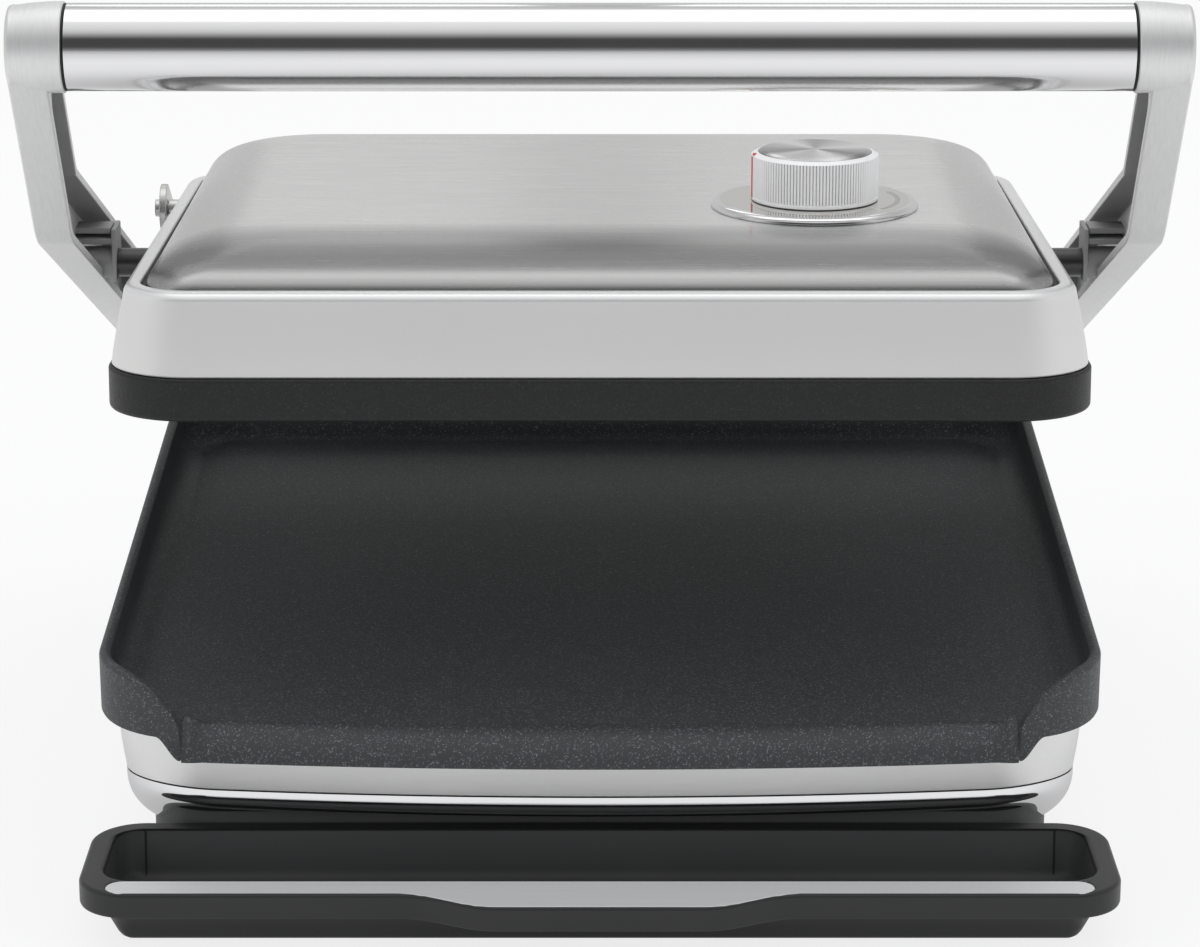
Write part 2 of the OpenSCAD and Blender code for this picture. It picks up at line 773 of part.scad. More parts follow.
// A tube heating element bent into a loop, open at the back with two cold ends
module element_loop() {
    difference() {
        swept_ring(element_w, element_l, element_bend) circle(element_d / 2);
        translate([0, element_l / 2, 0]) cube([element_gap, 4 * element_d, 4 * element_d], center = true);
    }
    for (x = [-1, 1]) translate([x * element_gap / 2, element_l / 2, 0]) rotate([-90, 0, 0]) {
        cylinder(d = element_d, h = cold_end_l);
        sphere(d = element_d);
    }
}

module lower_reflector() {
    reflector_z = floor_bottom - 2 * seam - element_d - reflector_t;
    color("#b9bbbd") on_plate() translate([0, plate_l / 2, reflector_z]) difference() {
        block(reflector_w, reflector_l, reflector_t, reflector_r);
        for (p = post_at)
            translate([p[0], (p[1] - plate_front_y) / cos(plate_slope) - plate_l / 2, -cut])
                cylinder(r = pillar_r + 3, h = reflector_t + 2 * cut);
    }
}

module thermal_fuse() {
    color("#d9d4c8") on_plate()
        translate([0, plate_l / 2, floor_bottom - seam - 3]) {
            rotate([0, 90, 0]) cylinder(r = 3, h = 24, center = true);
        }
}

// ================= hinge shaft and levelling crank =================

module hinge_shaft() {
    color("#a5a7a9") bar_x(-shaft_half, shaft_half, hinge_y, hinge_z, hinge_shaft_d / 2);
}

// The crank is keyed to the shaft beside the left post and carries the link's rear pin
module link_crank() {
    color("#8f9193") difference() {
        side_solid(-crank_in - crank_t, -crank_in) difference() {
            strip([hinge_y, hinge_z], crank_at, link_r);
            translate([hinge_y, hinge_z]) circle(hinge_shaft_d / 2 + run_gap);
            translate(crank_at) circle(link_bolt_d / 2 + run_gap);
        }
    }
}

module crank_pin() {
    color("#b4b6b8") {
        bar_x(-link_out - pass_gap / 2 - bolt_head_t, -crank_in + 0.2, crank_at[0], crank_at[1],
            link_bolt_d / 2);
        bar_x(-link_out - pass_gap / 2 - bolt_head_t, -link_out - pass_gap / 2,
            crank_at[0], crank_at[1], bolt_head_d / 2);
    }
}

// Round eye on the lid's bolt, short slot on the crank's pin
module levelling_link() {
    color("#b9bbbd") side_solid(-link_out, -link_in)
        translate(bolt_up) rotate(link_angle) difference() {
            strip([0, 0], [link_len, 0], link_r);
            circle(link_bolt_d / 2 + run_gap);
            strip([link_len - link_slot, 0], [link_len + link_slot, 0],
                link_bolt_d / 2 + link_slot_gap);
        }
}

// ================= arms and handle =================

module arm_outline() {
    straight([handle_y, handle_z], [bend_y, bend_z], arm_r);
    straight([bend_y, bend_z], [hinge_y, hinge_z], arm_r);
    translate([handle_y, handle_z]) circle(head_r);
    translate([bend_y, bend_z]) circle(arm_r);
    translate([hinge_y, hinge_z]) circle(arm_r);
}

// The hollow of the channel, from below the head to the hinge boss
module arm_hollow() {
    straight(hollow_top, [bend_y, bend_z], hollow_r);
    straight([bend_y, bend_z], hollow_end, hollow_r);
    for (p = [hollow_top, [bend_y, bend_z], hollow_end]) translate(p) circle(hollow_r);
}

module arm() {
    difference() {
        union() {
            side_solid(arm_in, arm_half) arm_outline();
            side_solid(head_in, arm_half) translate([handle_y, handle_z]) circle(head_r);
            side_solid(hinge_boss_in, arm_half) translate([hinge_y, hinge_z]) circle(arm_r);
        }
        difference() {
            side_solid(arm_in - cut, arm_half - arm_wall_t) arm_hollow();
            side_solid(arm_in - 2 * cut, arm_half) {
                translate([pivot_y, pivot_z]) circle(pivot_boss_r);
                for (d = arm_rib_at) translate([bend_y + d * arm_down[0], bend_z + d * arm_down[1]])
                    rotate(-12) square([2 * arm_r, arm_rib_t], center = true);
            }
        }
        arm_bores();
    }
    difference() {
        side_solid(pivot_boss_in, arm_half - 1) translate([pivot_y, pivot_z]) circle(pivot_boss_r);
        arm_bores();
    }
}

module arm_bores() {
    bar_x(pivot_boss_in - cut, arm_half - arm_wall_t, pivot_y, pivot_z, pivot_d / 2 + run_gap);
    bar_x(hinge_boss_in - cut, shaft_half + 1, hinge_y, hinge_z, hinge_shaft_d / 2 + run_gap);
    bar_x(head_in - cut, tie_half + 1, handle_y, handle_z, tie_rod_d / 2 + run_gap);
}

module right_arm() {
    color("#c2c4c6") arm();
}

module left_arm() {
    color("#c2c4c6") mirror([1, 0, 0]) arm();
}

module handle_tube() {
    color("#dfe1e3") difference() {
        bar_x(-handle_l / 2, handle_l / 2, handle_y, handle_z, handle_d / 2);
        bar_x(-handle_l, handle_l, handle_y, handle_z, handle_d / 2 - handle_t);
    }
}

// Plug and shadow ring at each end of the tube
module handle_collars() {
    plug_r = handle_d / 2 - handle_t - 0.1;
    color("#26282a") difference() {
        union() for (s = [0, 1]) mirror([s, 0, 0]) {
            bar_x(handle_l / 2 - plug_l, handle_l / 2 + 0.9, handle_y, handle_z, plug_r);
            bar_x(handle_l / 2 + 0.05, handle_l / 2 + 0.9, handle_y, handle_z, handle_d / 2 - 0.5);
        }
        bar_x(-handle_l, handle_l, handle_y, handle_z, tie_rod_d / 2 + 0.1);
    }
}

module tie_rod() {
    color("#8d8f91") bar_x(-tie_half, tie_half, handle_y, handle_z, tie_rod_d / 2);
}

// ================= lid =================

module pivot_pin() {
    bar_x(pin_in, pin_out, pivot_y, pivot_z, pivot_d / 2);
}

module right_pivot_pin() {
    color("#1b1c1d") pivot_pin();
}

module left_pivot_pin() {
    color("#1b1c1d") mirror([1, 0, 0]) pivot_pin();
}

// A block on the upper plate that holds a pivot pin
module pivot_block() {
    difference() {
        on_lid() translate([block_out - block_w, pivot_back - block_l / 2, plate_top_w + seam])
            cube([block_w, block_l, pivot_up + 9 - plate_top_w]);
        bar_x(block_out - block_w - cut, block_out + cut, pivot_y, pivot_z, pivot_d / 2 + run_gap);
    }
}

module right_pivot_block() {
    color("#5b5d5f") pivot_block();
}

module left_pivot_block() {
    color("#5b5d5f") mirror([1, 0, 0]) pivot_block();
}

// Cast plate with a smooth border, ribs below and a tray for the heater above
module upper_plate() {
    color("#232425") on_lid() {
        difference() {
            block(lid_w, lid_l, band_h, lid_corner_r);
            translate([0, 0, plate_top_w])
                block(lid_w - 2 * band_t, lid_l - 2 * band_t, band_h, lid_corner_r - band_t);
            translate([0, 0, -cut])
                block(lid_w - 2 * border_w, lid_l - 2 * border_w, cook_face_w + cut,
                    lid_corner_r - border_w);
            for (p = lid_screw_at)
                translate([p[0], p[1], cook_face_w + 1]) cylinder(r = screw_d / 2 + run_gap, h = band_h);
        }
        for (i = [0:rib_count - 1])
            translate([(i - (rib_count - 1) / 2) * rib_pitch, 0, -rib_drop])
                block(rib_w, rib_l, rib_drop + cook_face_w + 0.5, rib_w / 2 - 0.1);
    }
}

module upper_element() {
    color("#6d6a66") on_lid() translate([0, 0, plate_top_w + seam + element_d / 2]) element_loop();
}

module upper_reflector() {
    color("#b9bbbd") on_lid() translate([0, 0, reflector_up]) difference() {
        block(upper_reflector_w, reflector_l, reflector_t, reflector_r);
        for (p = lid_screw_at) translate([p[0], p[1], -cut])
            cylinder(r = screw_d / 2 + 0.2, h = reflector_t + 2 * cut);
    }
}

module lid_screws() {
    color("#9a9c9e") on_lid() for (p = lid_screw_at) translate([p[0], p[1], 0]) {
        translate([0, 0, lid_screw_foot])
            cylinder(r = screw_d / 2, h = lid_screw_head + 1 - lid_screw_foot);
        translate([0, 0, lid_screw_head]) cylinder(r = screw_head_d / 2, h = screw_head_h);
    }
}

// Satin skirt: leaning wall, rolled rim and the ledge that carries the dome
module lid_skirt() {
    lean = skirt_lean - skirt_step;
    color("#c9cbcd") on_lid() difference() {
        translate([0, 0, band_top + seam])
            swept_ring(lid_w - 2 * skirt_step, lid_l - 2 * skirt_step, lid_corner_r - skirt_step)
                polygon([[0, 0], [-lean + 0.9, skirt_h - 2.6 - seam], [-lean, skirt_h - 0.8 - seam],
                    [-lean - 1, skirt_h - seam], [-lean - rim_w + 0.6, skirt_h - seam],
                    [-lean - rim_w, skirt_h - seam - 0.6], [-lean - rim_w, skirt_h - rim_deep],
                    [-lean - rim_w - ledge_w, skirt_h - rim_deep],
                    [-lean - rim_w - ledge_w, skirt_h - rim_deep - lid_sheet_t],
                    [-lean - lid_sheet_t, skirt_h - rim_deep - lid_sheet_t], [-lid_sheet_t, 0]]);
        for (x = [-1, 1]) translate([x * lid_half, pivot_back, pivot_up]) rotate([0, 90, 0])
            cylinder(r = pivot_d / 2 + 0.3, h = 40, center = true);
        translate([-lid_half, link_back, link_up]) rotate([0, 90, 0])
            cylinder(r = link_bolt_d / 2 + run_gap, h = 40, center = true);
    }
}

// Slices whose hull gives a dome: level at the foot, tilted with the top at the crown
module dome_shape(inset, foot, top) {
    steps = 7;
    hull() for (i = [0:steps]) {
        turn = 90 * i / steps;
        step_in = inset + (dome_edge_w - inset) * (1 - cos(turn));
        translate([0, 0, foot + (top - foot) * sin(turn)]) rotate([dome_slope * sin(turn), 0, 0])
            linear_extrude(tiny)
                slice_outline(dome_w - 2 * step_in, dome_l - 2 * step_in, dome_corner_r + step_in * 0.25);
    }
}

module slice_outline(w, l, r) {
    hull() for (x = [-1, 1], y = [-1, 1])
        translate([x * (w / 2 - r), y * (l / 2 - r)]) circle(r, $fn = 40);
}

module lid_dome() {
    color("#cfd1d3") on_lid() difference() {
        dome_shape(0, dome_foot_w, rim_top + dome_h);
        dome_shape(lid_sheet_t, dome_foot_w - tiny, rim_top + dome_h - lid_sheet_t);
        on_dome_top() translate([0, 0, -dome_h]) cylinder(r = bush_r + 0.1, h = 2 * dome_h);
    }
}

// Black seal that fills the groove between rim and dome
module dome_seal() {
    color("#191a1b") on_lid() translate([0, 0, dome_foot_w])
        swept_ring(dome_w, dome_l, dome_corner_r)
            translate([0.1, 0]) square([dome_groove - 0.2, 1]);
}

module link_bolt() {
    color("#c0c2c4") {
        bar_x(-link_out - pass_gap / 2, -bolt_root, bolt_up[0], bolt_up[1], link_bolt_d / 2);
        bar_x(-link_out - pass_gap / 2 - bolt_head_t, -link_out - pass_gap / 2, bolt_up[0], bolt_up[1],
            bolt_head_d / 2);
        bar_x(-bolt_root - 1.5, -bolt_root + 3, bolt_up[0], bolt_up[1], bolt_head_d / 2);
    }
}

module link_spacer() {
    color("#a9abad") difference() {
        bar_x(-link_in + pass_gap / 2, -spacer_root, bolt_up[0], bolt_up[1], link_bolt_d / 2 + 1);
        bar_x(-link_out, -spacer_root + cut, bolt_up[0], bolt_up[1], link_bolt_d / 2 + run_gap);
    }
}

// ================= thermostat and dial =================

// Children drawn on the sloping top of the dome, over the thermostat, in the lid's frame
module on_dome_top() {
    translate([0, 0, rim_top + dome_h]) rotate([dome_slope, 0, 0])
        translate([dial_x, -dial_front, 0]) children();
}

module on_dial() {
    on_lid() on_dome_top() children();
}

module thermostat() {
    color("#8b8377") on_dial() difference() {
        union() {
            translate([0, 0, -lid_sheet_t - seam - thermostat_h])
                cylinder(r = thermostat_r, h = thermostat_h);
            translate([0, 0, -lid_sheet_t - seam - 1]) cylinder(r = bush_r, h = lid_sheet_t + seam + 1.6);
            for (a = [60, 240]) rotate(a)
                translate([thermostat_r - 1, -3, -lid_sheet_t - seam - thermostat_h + 3]) cube([7, 6, 0.8]);
        }
        translate([0, 0, -lid_sheet_t - thermostat_h + 2])
            cylinder(r = spindle_d / 2 + run_gap, h = 2 * thermostat_h);
    }
}

module thermostat_spindle() {
    color("#9a9c9e") on_dial() translate([0, 0, -thermostat_h + 4])
        cylinder(r = spindle_d / 2, h = thermostat_h - 4 + knob_foot + spindle_grip);
}

// Bright disc under the knob with a sloping edge
module dial_bezel() {
    color("#e3e5e7") on_dial() difference() {
        rotate_extrude() polygon([[bush_r + 1, 0.1], [bezel_d / 2, 0.1], [bezel_d / 2, 0.5],
            [bezel_d / 2 - bezel_slope, bezel_h], [bush_r + 1, bezel_h]]);
        translate([0, 0, bezel_h - mark_t]) linear_extrude(cut) {
            lens_outline(0.1);
            mark_outline(0.05);
        }
    }
}

module lens_outline(gap) {
    translate([0, -mark_r]) round_rect(lens_w + 2 * gap, lens_l + 2 * gap, lens_l / 2 - 0.2);
}

// An arc of even width for the printed scale, less than half a turn long
module mark_outline(gap) {
    difference() {
        circle(mark_r + mark_w / 2 + gap);
        circle(mark_r - mark_w / 2 - gap);
        rotate(mark_from - gap) translate([-bezel_d, -bezel_d]) square([2 * bezel_d, bezel_d]);
        rotate(mark_to + gap) translate([-bezel_d, 0]) square([2 * bezel_d, bezel_d]);
    }
}

module indicator_lens() {
    color("#b23a1e") on_dial() translate([0, 0, bezel_h - mark_t + 0.05])
        linear_extrude(mark_t + 0.1) lens_outline(0);
}

module dial_marks() {
    color("#a9abad") on_dial() translate([0, 0, bezel_h - mark_t + 0.05])
        linear_extrude(mark_t - 0.05) mark_outline(0);
}

// Finely ribbed knob with a recess for its cap and a slot for its pointer
module dial_knob() {
    color("#d4d6d8") on_dial() translate([0, 0, knob_foot]) difference() {
        linear_extrude(knob_h) polygon([for (i = [0:2 * knob_ribs - 1])
            (knob_d / 2 - (i % 2) * knob_rib_deep) * [cos(180 * i / knob_ribs), sin(180 * i / knob_ribs)]]);
        translate([0, 0, -cut]) cylinder(r = spindle_d / 2 + run_gap, h = spindle_grip + cut + 0.2);
        translate([0, 0, knob_h - cap_seat]) cylinder(r = cap_d / 2 + 0.1, h = cap_seat + cut);
        rotate(pointer_angle) translate([knob_d / 2 - pointer_deep - 0.1, -pointer_w / 2 - 0.1, -cut])
            cube([knob_d, pointer_w + 0.2, 2 * knob_h]);
    }
}

module knob_cap() {
    color("#dcdee0") on_dial() translate([0, 0, knob_foot + knob_h - cap_seat + 0.1])
        cylinder(r = cap_d / 2, h = cap_t);
}

module knob_pointer() {
    color("#d8452e") on_dial() translate([0, 0, knob_foot]) rotate(pointer_angle)
        translate([knob_d / 2 - pointer_deep, -pointer_w / 2, 0]) cube([pointer_deep, pointer_w, knob_h]);
}

feet();
base_pan();
base_screws();
base_shell();
chrome_trim();
rear_housing();
left_hinge_post();
right_hinge_post();
housing_screws();
post_screws();
cord_gland();
terminal_block();
tray_runners();
plate_posts();
lower_plate();
lower_element();
lower_reflector();
thermal_fuse();
hinge_shaft();
link_crank();
crank_pin();
levelling_link();
left_arm();
right_arm();
handle_tube();
handle_collars();
tie_rod();
left_pivot_pin();
right_pivot_pin();
left_pivot_block();
right_pivot_block();
upper_plate();
upper_element();
upper_reflector();
lid_skirt();
lid_dome();
dome_seal();
lid_screws();
link_bolt();
link_spacer();
thermostat();
dial_bezel();
indicator_lens();
dial_marks();
thermostat_spindle();
dial_knob();
knob_cap();
knob_pointer();
drip_tray();
tray_strip();
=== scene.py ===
# %% [markdown]
# # An electric contact grill, dressed for its photograph
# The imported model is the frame: it already holds every piece at its real size and place. This file
# gives each visible piece the rounded edges, the swept curves and the finish that the real grill
# shows, and sets up the studio that the photograph was taken in. Sizes are in millimetres until
# the moment when a piece is placed, because that is how a maker's drawing gives them.

# %% Load the frame
import json
import math

import bmesh
import bpy
from mathutils import Matrix, Vector

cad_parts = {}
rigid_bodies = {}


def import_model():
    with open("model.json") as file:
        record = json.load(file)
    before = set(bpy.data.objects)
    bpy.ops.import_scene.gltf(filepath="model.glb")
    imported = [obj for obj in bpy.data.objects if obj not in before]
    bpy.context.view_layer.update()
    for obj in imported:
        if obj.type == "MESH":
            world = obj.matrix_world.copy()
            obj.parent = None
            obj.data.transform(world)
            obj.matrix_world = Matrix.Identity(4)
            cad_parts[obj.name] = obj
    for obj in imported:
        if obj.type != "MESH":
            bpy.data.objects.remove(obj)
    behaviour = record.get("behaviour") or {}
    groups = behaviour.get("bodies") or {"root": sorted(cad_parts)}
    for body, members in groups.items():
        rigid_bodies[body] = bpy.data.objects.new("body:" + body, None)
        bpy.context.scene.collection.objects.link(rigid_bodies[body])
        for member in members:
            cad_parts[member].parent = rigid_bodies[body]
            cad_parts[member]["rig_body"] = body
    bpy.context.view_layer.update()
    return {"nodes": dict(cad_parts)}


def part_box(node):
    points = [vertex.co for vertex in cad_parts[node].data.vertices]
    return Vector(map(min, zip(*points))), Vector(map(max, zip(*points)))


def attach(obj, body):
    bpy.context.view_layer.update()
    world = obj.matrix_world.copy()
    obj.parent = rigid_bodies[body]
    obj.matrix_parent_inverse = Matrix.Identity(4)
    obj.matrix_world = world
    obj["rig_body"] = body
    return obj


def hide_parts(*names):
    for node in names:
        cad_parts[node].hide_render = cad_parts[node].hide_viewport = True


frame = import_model()
MM = 0.001
scene = bpy.context.scene

# %% [markdown]
# ## Three working frames
# The lower plate slopes to the front, the lid floats at its own small tilt, and the dial stands on
# the lid's crowned top. Each of them is easier to shape level and square, so a matrix carries each
# piece from its own level drawing to its place on the grill.

# %% Working frames
PLATE_SLOPE = 4.23
LID_TILT = 2.72
DOME_SLOPE = 2.0
PLATE_FRONT = Vector((0, -145.5, 76.9))
LID_PIVOT = Vector((0, 38, 162.8))
PIVOT_IN_LID = Vector((0, 33.6, 20.6))
LEVEL = Matrix.Identity(4)

# Corners closer than this, in millimetres, are one corner. A sweep's points lie on its straight
# front edge when their outward direction is below STRAIGHT_FRONT in Y, and CROWDING sets how
# unevenly that edge is divided.
WELD, STRAIGHT_FRONT, CROWDING = 0.0005, -0.9999, 1.7


def turn_x(degrees):
    return Matrix.Rotation(math.radians(degrees), 4, "X")


ON_PLATE = Matrix.Translation(PLATE_FRONT) @ turn_x(PLATE_SLOPE)
ON_LID = Matrix.Translation(LID_PIVOT) @ turn_x(-LID_TILT) @ Matrix.Translation(-PIVOT_IN_LID)

# %% [markdown]
# ## Handing a piece over
# A finished mesh goes through the same last steps every time: doubles merged, normals turned
# outwards, sharp edges kept by their angle, and then it rides on its body and stands for its node.
# A weighted normal modifier keeps the large flat faces flat beside their small rounded edges. Two
# more helpers make a plain object and copy one mesh into another.

# %% Helpers that finish a piece


def place(bm, where=LEVEL):
    """From millimetres in a working frame to metres on the grill."""
    bmesh.ops.transform(bm, matrix=Matrix.Scale(MM, 4) @ where, verts=bm.verts)


def hand_over(bm, name, body, materials, stands_for, sharp=38, merge=2e-6, weighted=True):
    """Make the piece from its bmesh, dress it, put it on its body and hide the nodes it stands for.
    """
    if merge:
        bmesh.ops.remove_doubles(bm, verts=bm.verts, dist=merge)
    bmesh.ops.recalc_face_normals(bm, faces=bm.faces)
    mesh = bpy.data.meshes.new(name)
    bm.to_mesh(mesh)
    bm.free()
    mesh.shade_smooth()
    mesh.set_sharp_from_angle(angle=math.radians(sharp))
    piece = bpy.data.objects.new(name, mesh)
    scene.collection.objects.link(piece)
    for material in materials:
        mesh.materials.append(material)
    if weighted:
        piece.modifiers.new("flat faces", "WEIGHTED_NORMAL").keep_sharp = True
    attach(piece, body)
    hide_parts(*stands_for)
    print(name, "faces", len(mesh.polygons))
    return piece


def to_object(bm, name):
    """A plain object, for a Boolean or for the studio."""
    mesh = bpy.data.meshes.new(name)
    bm.to_mesh(mesh)
    bm.free()
    made = bpy.data.objects.new(name, mesh)
    scene.collection.objects.link(made)
    return made


def add_to(bm, part):
    """Copy one bmesh into another."""
    sheet = bpy.data.meshes.new("part")
    part.to_mesh(sheet)
    part.free()
    bm.from_mesh(sheet)
    bpy.data.meshes.remove(sheet)


# %% [markdown]
# ## Blocks, rounded edges and cuts
# Ribs and tongues start as blocks between two values on each axis. Edges are rounded in the mesh
# where it is drawn here, and by a live bevel where a solid of the frame is only softened. A cut is
# a Boolean whose result is taken back as a mesh.

# %% Block, bevel and cut
CAST_ANGLE, CAST_SEGMENTS = 50, 3


def block(bm, *spans):
    """A box between two values on each axis. Its corners are returned."""
    made = bmesh.ops.create_cube(bm, size=1.0)["verts"]
    bmesh.ops.scale(bm, vec=[high - low for low, high in spans], verts=made)
    bmesh.ops.translate(bm, vec=[(high + low) / 2 for low, high in spans], verts=made)
    return made


def round_off(bm, edges, offset, segments):
    """Round some edges of a mesh."""
    bmesh.ops.bevel(bm, geom=edges, affect="EDGES", offset=offset, segments=segments, profile=0.5,
                    material=-1)


def live_bevel(piece, width, angle, segments):
    """Round every edge that is sharper than angle degrees."""
    edge = piece.modifiers.new("soft edges", "BEVEL")
    edge.limit_method = "ANGLE"
    edge.angle_limit = math.radians(angle)
    edge.width = width
    edge.segments = segments
    return edge


def carved(body, cutter, edge_width=0.0):
    """Cut one object out of another, round its edges if asked, and return a bmesh."""
    cut = body.modifiers.new("cut", "BOOLEAN")
    cut.operation = "DIFFERENCE"
    cut.solver = "EXACT"
    cut.object = cutter
    if edge_width:
        live_bevel(body, edge_width, CAST_ANGLE, CAST_SEGMENTS)
    bpy.context.view_layer.update()
    solved = body.evaluated_get(bpy.context.evaluated_depsgraph_get())
    bm = bmesh.new()
    bm.from_mesh(bpy.data.meshes.new_from_object(solved))
    for spare in (body, cutter):
        bpy.data.objects.remove(spare)
    return bm


# %% [markdown]
# ## Rounded outlines and sweeps
# Plates, shells, trims and the tray are all rounded rectangles seen from above. One sheet with its
# corners bevelled gives the outline. Extruding its edge again and again, each time a little
# inwards or upwards, sweeps any profile round it, and the corner radius shrinks as a true offset
# does.

# %% Outline and sweep


def rounded_sheet(width, length, radius, steps=12, front_cuts=0, middle_y=0.0):
    """A flat sheet with round corners, its front edge cut into short stretches if asked."""
    bm = bmesh.new()
    bmesh.ops.create_grid(bm, x_segments=1, y_segments=1, size=0.5)
    bmesh.ops.scale(bm, vec=(width, length, 1), verts=bm.verts)
    bmesh.ops.bevel(bm, geom=bm.verts[:], affect="VERTICES", offset=radius, segments=steps,
                    profile=0.5, material=-1)
    if front_cuts:
        front = [e for e in bm.edges if max(v.co.y for v in e.verts) < -length / 2 + 0.01]
        bmesh.ops.subdivide_edges(bm, edges=front, cuts=front_cuts)
    bmesh.ops.translate(bm, vec=(0, middle_y, 0), verts=bm.verts)
    return bm


def outward(point, core):
    """Direction from a rounded outline's straight core to a point on it."""
    half_x, half_y, middle_y = core
    nearest = Vector((min(half_x, max(-half_x, point.x)),
                      middle_y + min(half_y, max(-half_y, point.y - middle_y)), 0))
    return Vector((point.x - nearest.x, point.y - nearest.y, 0)).normalized()


def grow(bm, edges):
    """Extrude an edge loop in place and return its new corners and edges."""
    made = bmesh.ops.extrude_edge_only(bm, edges=edges)["geom"]
    corners = [g for g in made if isinstance(g, bmesh.types.BMVert)]
    known = set(corners)
    ring = [g for g in made if isinstance(g, bmesh.types.BMEdge) and set(g.verts) <= known]
    return corners, ring


def sweep(width, length, radius, profile, steps=12, front_cuts=0, middle_y=0.0, start_cap=False,
          end_cap=False, shape=None):
    """Sweep (inward, height) points round a rounded outline. shape may move each ring's corners."""
    bm = rounded_sheet(width, length, radius, steps, front_cuts, middle_y)
    core = (width / 2 - radius, length / 2 - radius, middle_y)
    drawn = {v: (v.co.copy(), outward(v.co, core)) for v in bm.verts}
    edges = bm.edges[:]
    if not start_cap:
        bmesh.ops.delete(bm, geom=bm.faces[:], context="FACES_ONLY")
    corners = bm.verts[:]
    for index, (inward, height) in enumerate(profile):
        if index:
            before = {v.co.copy().freeze(): drawn[v] for v in corners}
            corners, edges = grow(bm, edges)
            drawn = {v: before[v.co.copy().freeze()] for v in corners}
        for v in corners:
            base, out = drawn[v]
            v.co = base - inward * out + Vector((0, 0, height))
            if shape:
                v.co = shape(v.co, base, out, index)
    if end_cap:
        bmesh.ops.contextual_create(bm, geom=edges)
    return bm


def arc(centre, radius, start, end, steps, squash=1.0):
    """Points on an arc in the profile's plane, angles in degrees."""
    turns = [math.radians(start + (end - start) * i / steps) for i in range(steps + 1)]
    return [(centre[0] + radius * math.cos(t), centre[1] + squash * radius * math.sin(t))
            for t in turns]


# %% [markdown]
# ## Turned parts
# Tubes, pins, the knob's cap and the dial's disc come off a lathe. Their half profile is drawn as
# a line of points and spun round its own axis, here always Z, before it is laid in place.

# %% Spin a turned part


def turned(profile, steps=96, closed=True):
    """Spin (radius, height) points round Z. A closed profile makes a ring with thickness."""
    bm = bmesh.new()
    corners = [bm.verts.new((r, 0, h)) for r, h in profile]
    line = [bm.edges.new(pair) for pair in zip(corners, corners[1:])]
    if closed:
        line.append(bm.edges.new((corners[-1], corners[0])))
    bmesh.ops.spin(bm, geom=corners + line, cent=(0, 0, 0), axis=(0, 0, 1), angle=math.tau,
                   steps=steps, use_merge=True)
    bmesh.ops.remove_doubles(bm, verts=bm.verts, dist=WELD)
    return bm


def along_x(start, y, z):
    """Lay a part turned round Z along X, its foot at start."""
    return Matrix.Translation((start, y, z)) @ Matrix.Rotation(math.radians(90), 4, "Y")


def add_turned(bm, profile, start, centre, steps, closed=False):
    """Turn a profile, lay it along X from start, and add it round a point of the side view."""
    part = turned(profile, steps, closed)
    bmesh.ops.transform(part, matrix=along_x(start, centre.x, centre.y), verts=part.verts)
    add_to(bm, part)


# %% [markdown]
# ## Softened castings
# Many small pieces already have the right shape in the frame and only lack the tiny round that
# every real edge has. A copy is merged, its flat triangles dissolved, and a narrow bevel catches
# the light.

# %% Copy a node with soft edges
FLAT_ANGLE, SOFT_ANGLE, SOFT_SEGMENTS = 0.6, 40, 2


def softened(node, material, width):
    """A copy of a node with its sharp edges rounded by width millimetres."""
    source = frame["nodes"][node]
    bm = bmesh.new()
    bm.from_mesh(source.data)
    bmesh.ops.remove_doubles(bm, verts=bm.verts, dist=1e-6)
    bmesh.ops.dissolve_limit(bm, angle_limit=math.radians(FLAT_ANGLE), verts=bm.verts,
                             edges=bm.edges)
    piece = hand_over(bm, node + "_soft", source["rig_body"], [material], [node], merge=0,
                      weighted=False)
    live_bevel(piece, width * MM, SOFT_ANGLE, SOFT_SEGMENTS).harden_normals = True


# %% [markdown]
# ## Finishes
# Every finish is a small node tree that reads Object coordinates, so that it stays on the metal
# when the lid rises. Brushed sheet is the main one: a noise squeezed sixty times across the
# brushing drives a faint bump and a little unevenness in the roughness, and the eye reads it as
# scratches.

# %% Node helpers
UNIT = (0.0, 1.0)
NOISE_ROUGHNESS = 0.6


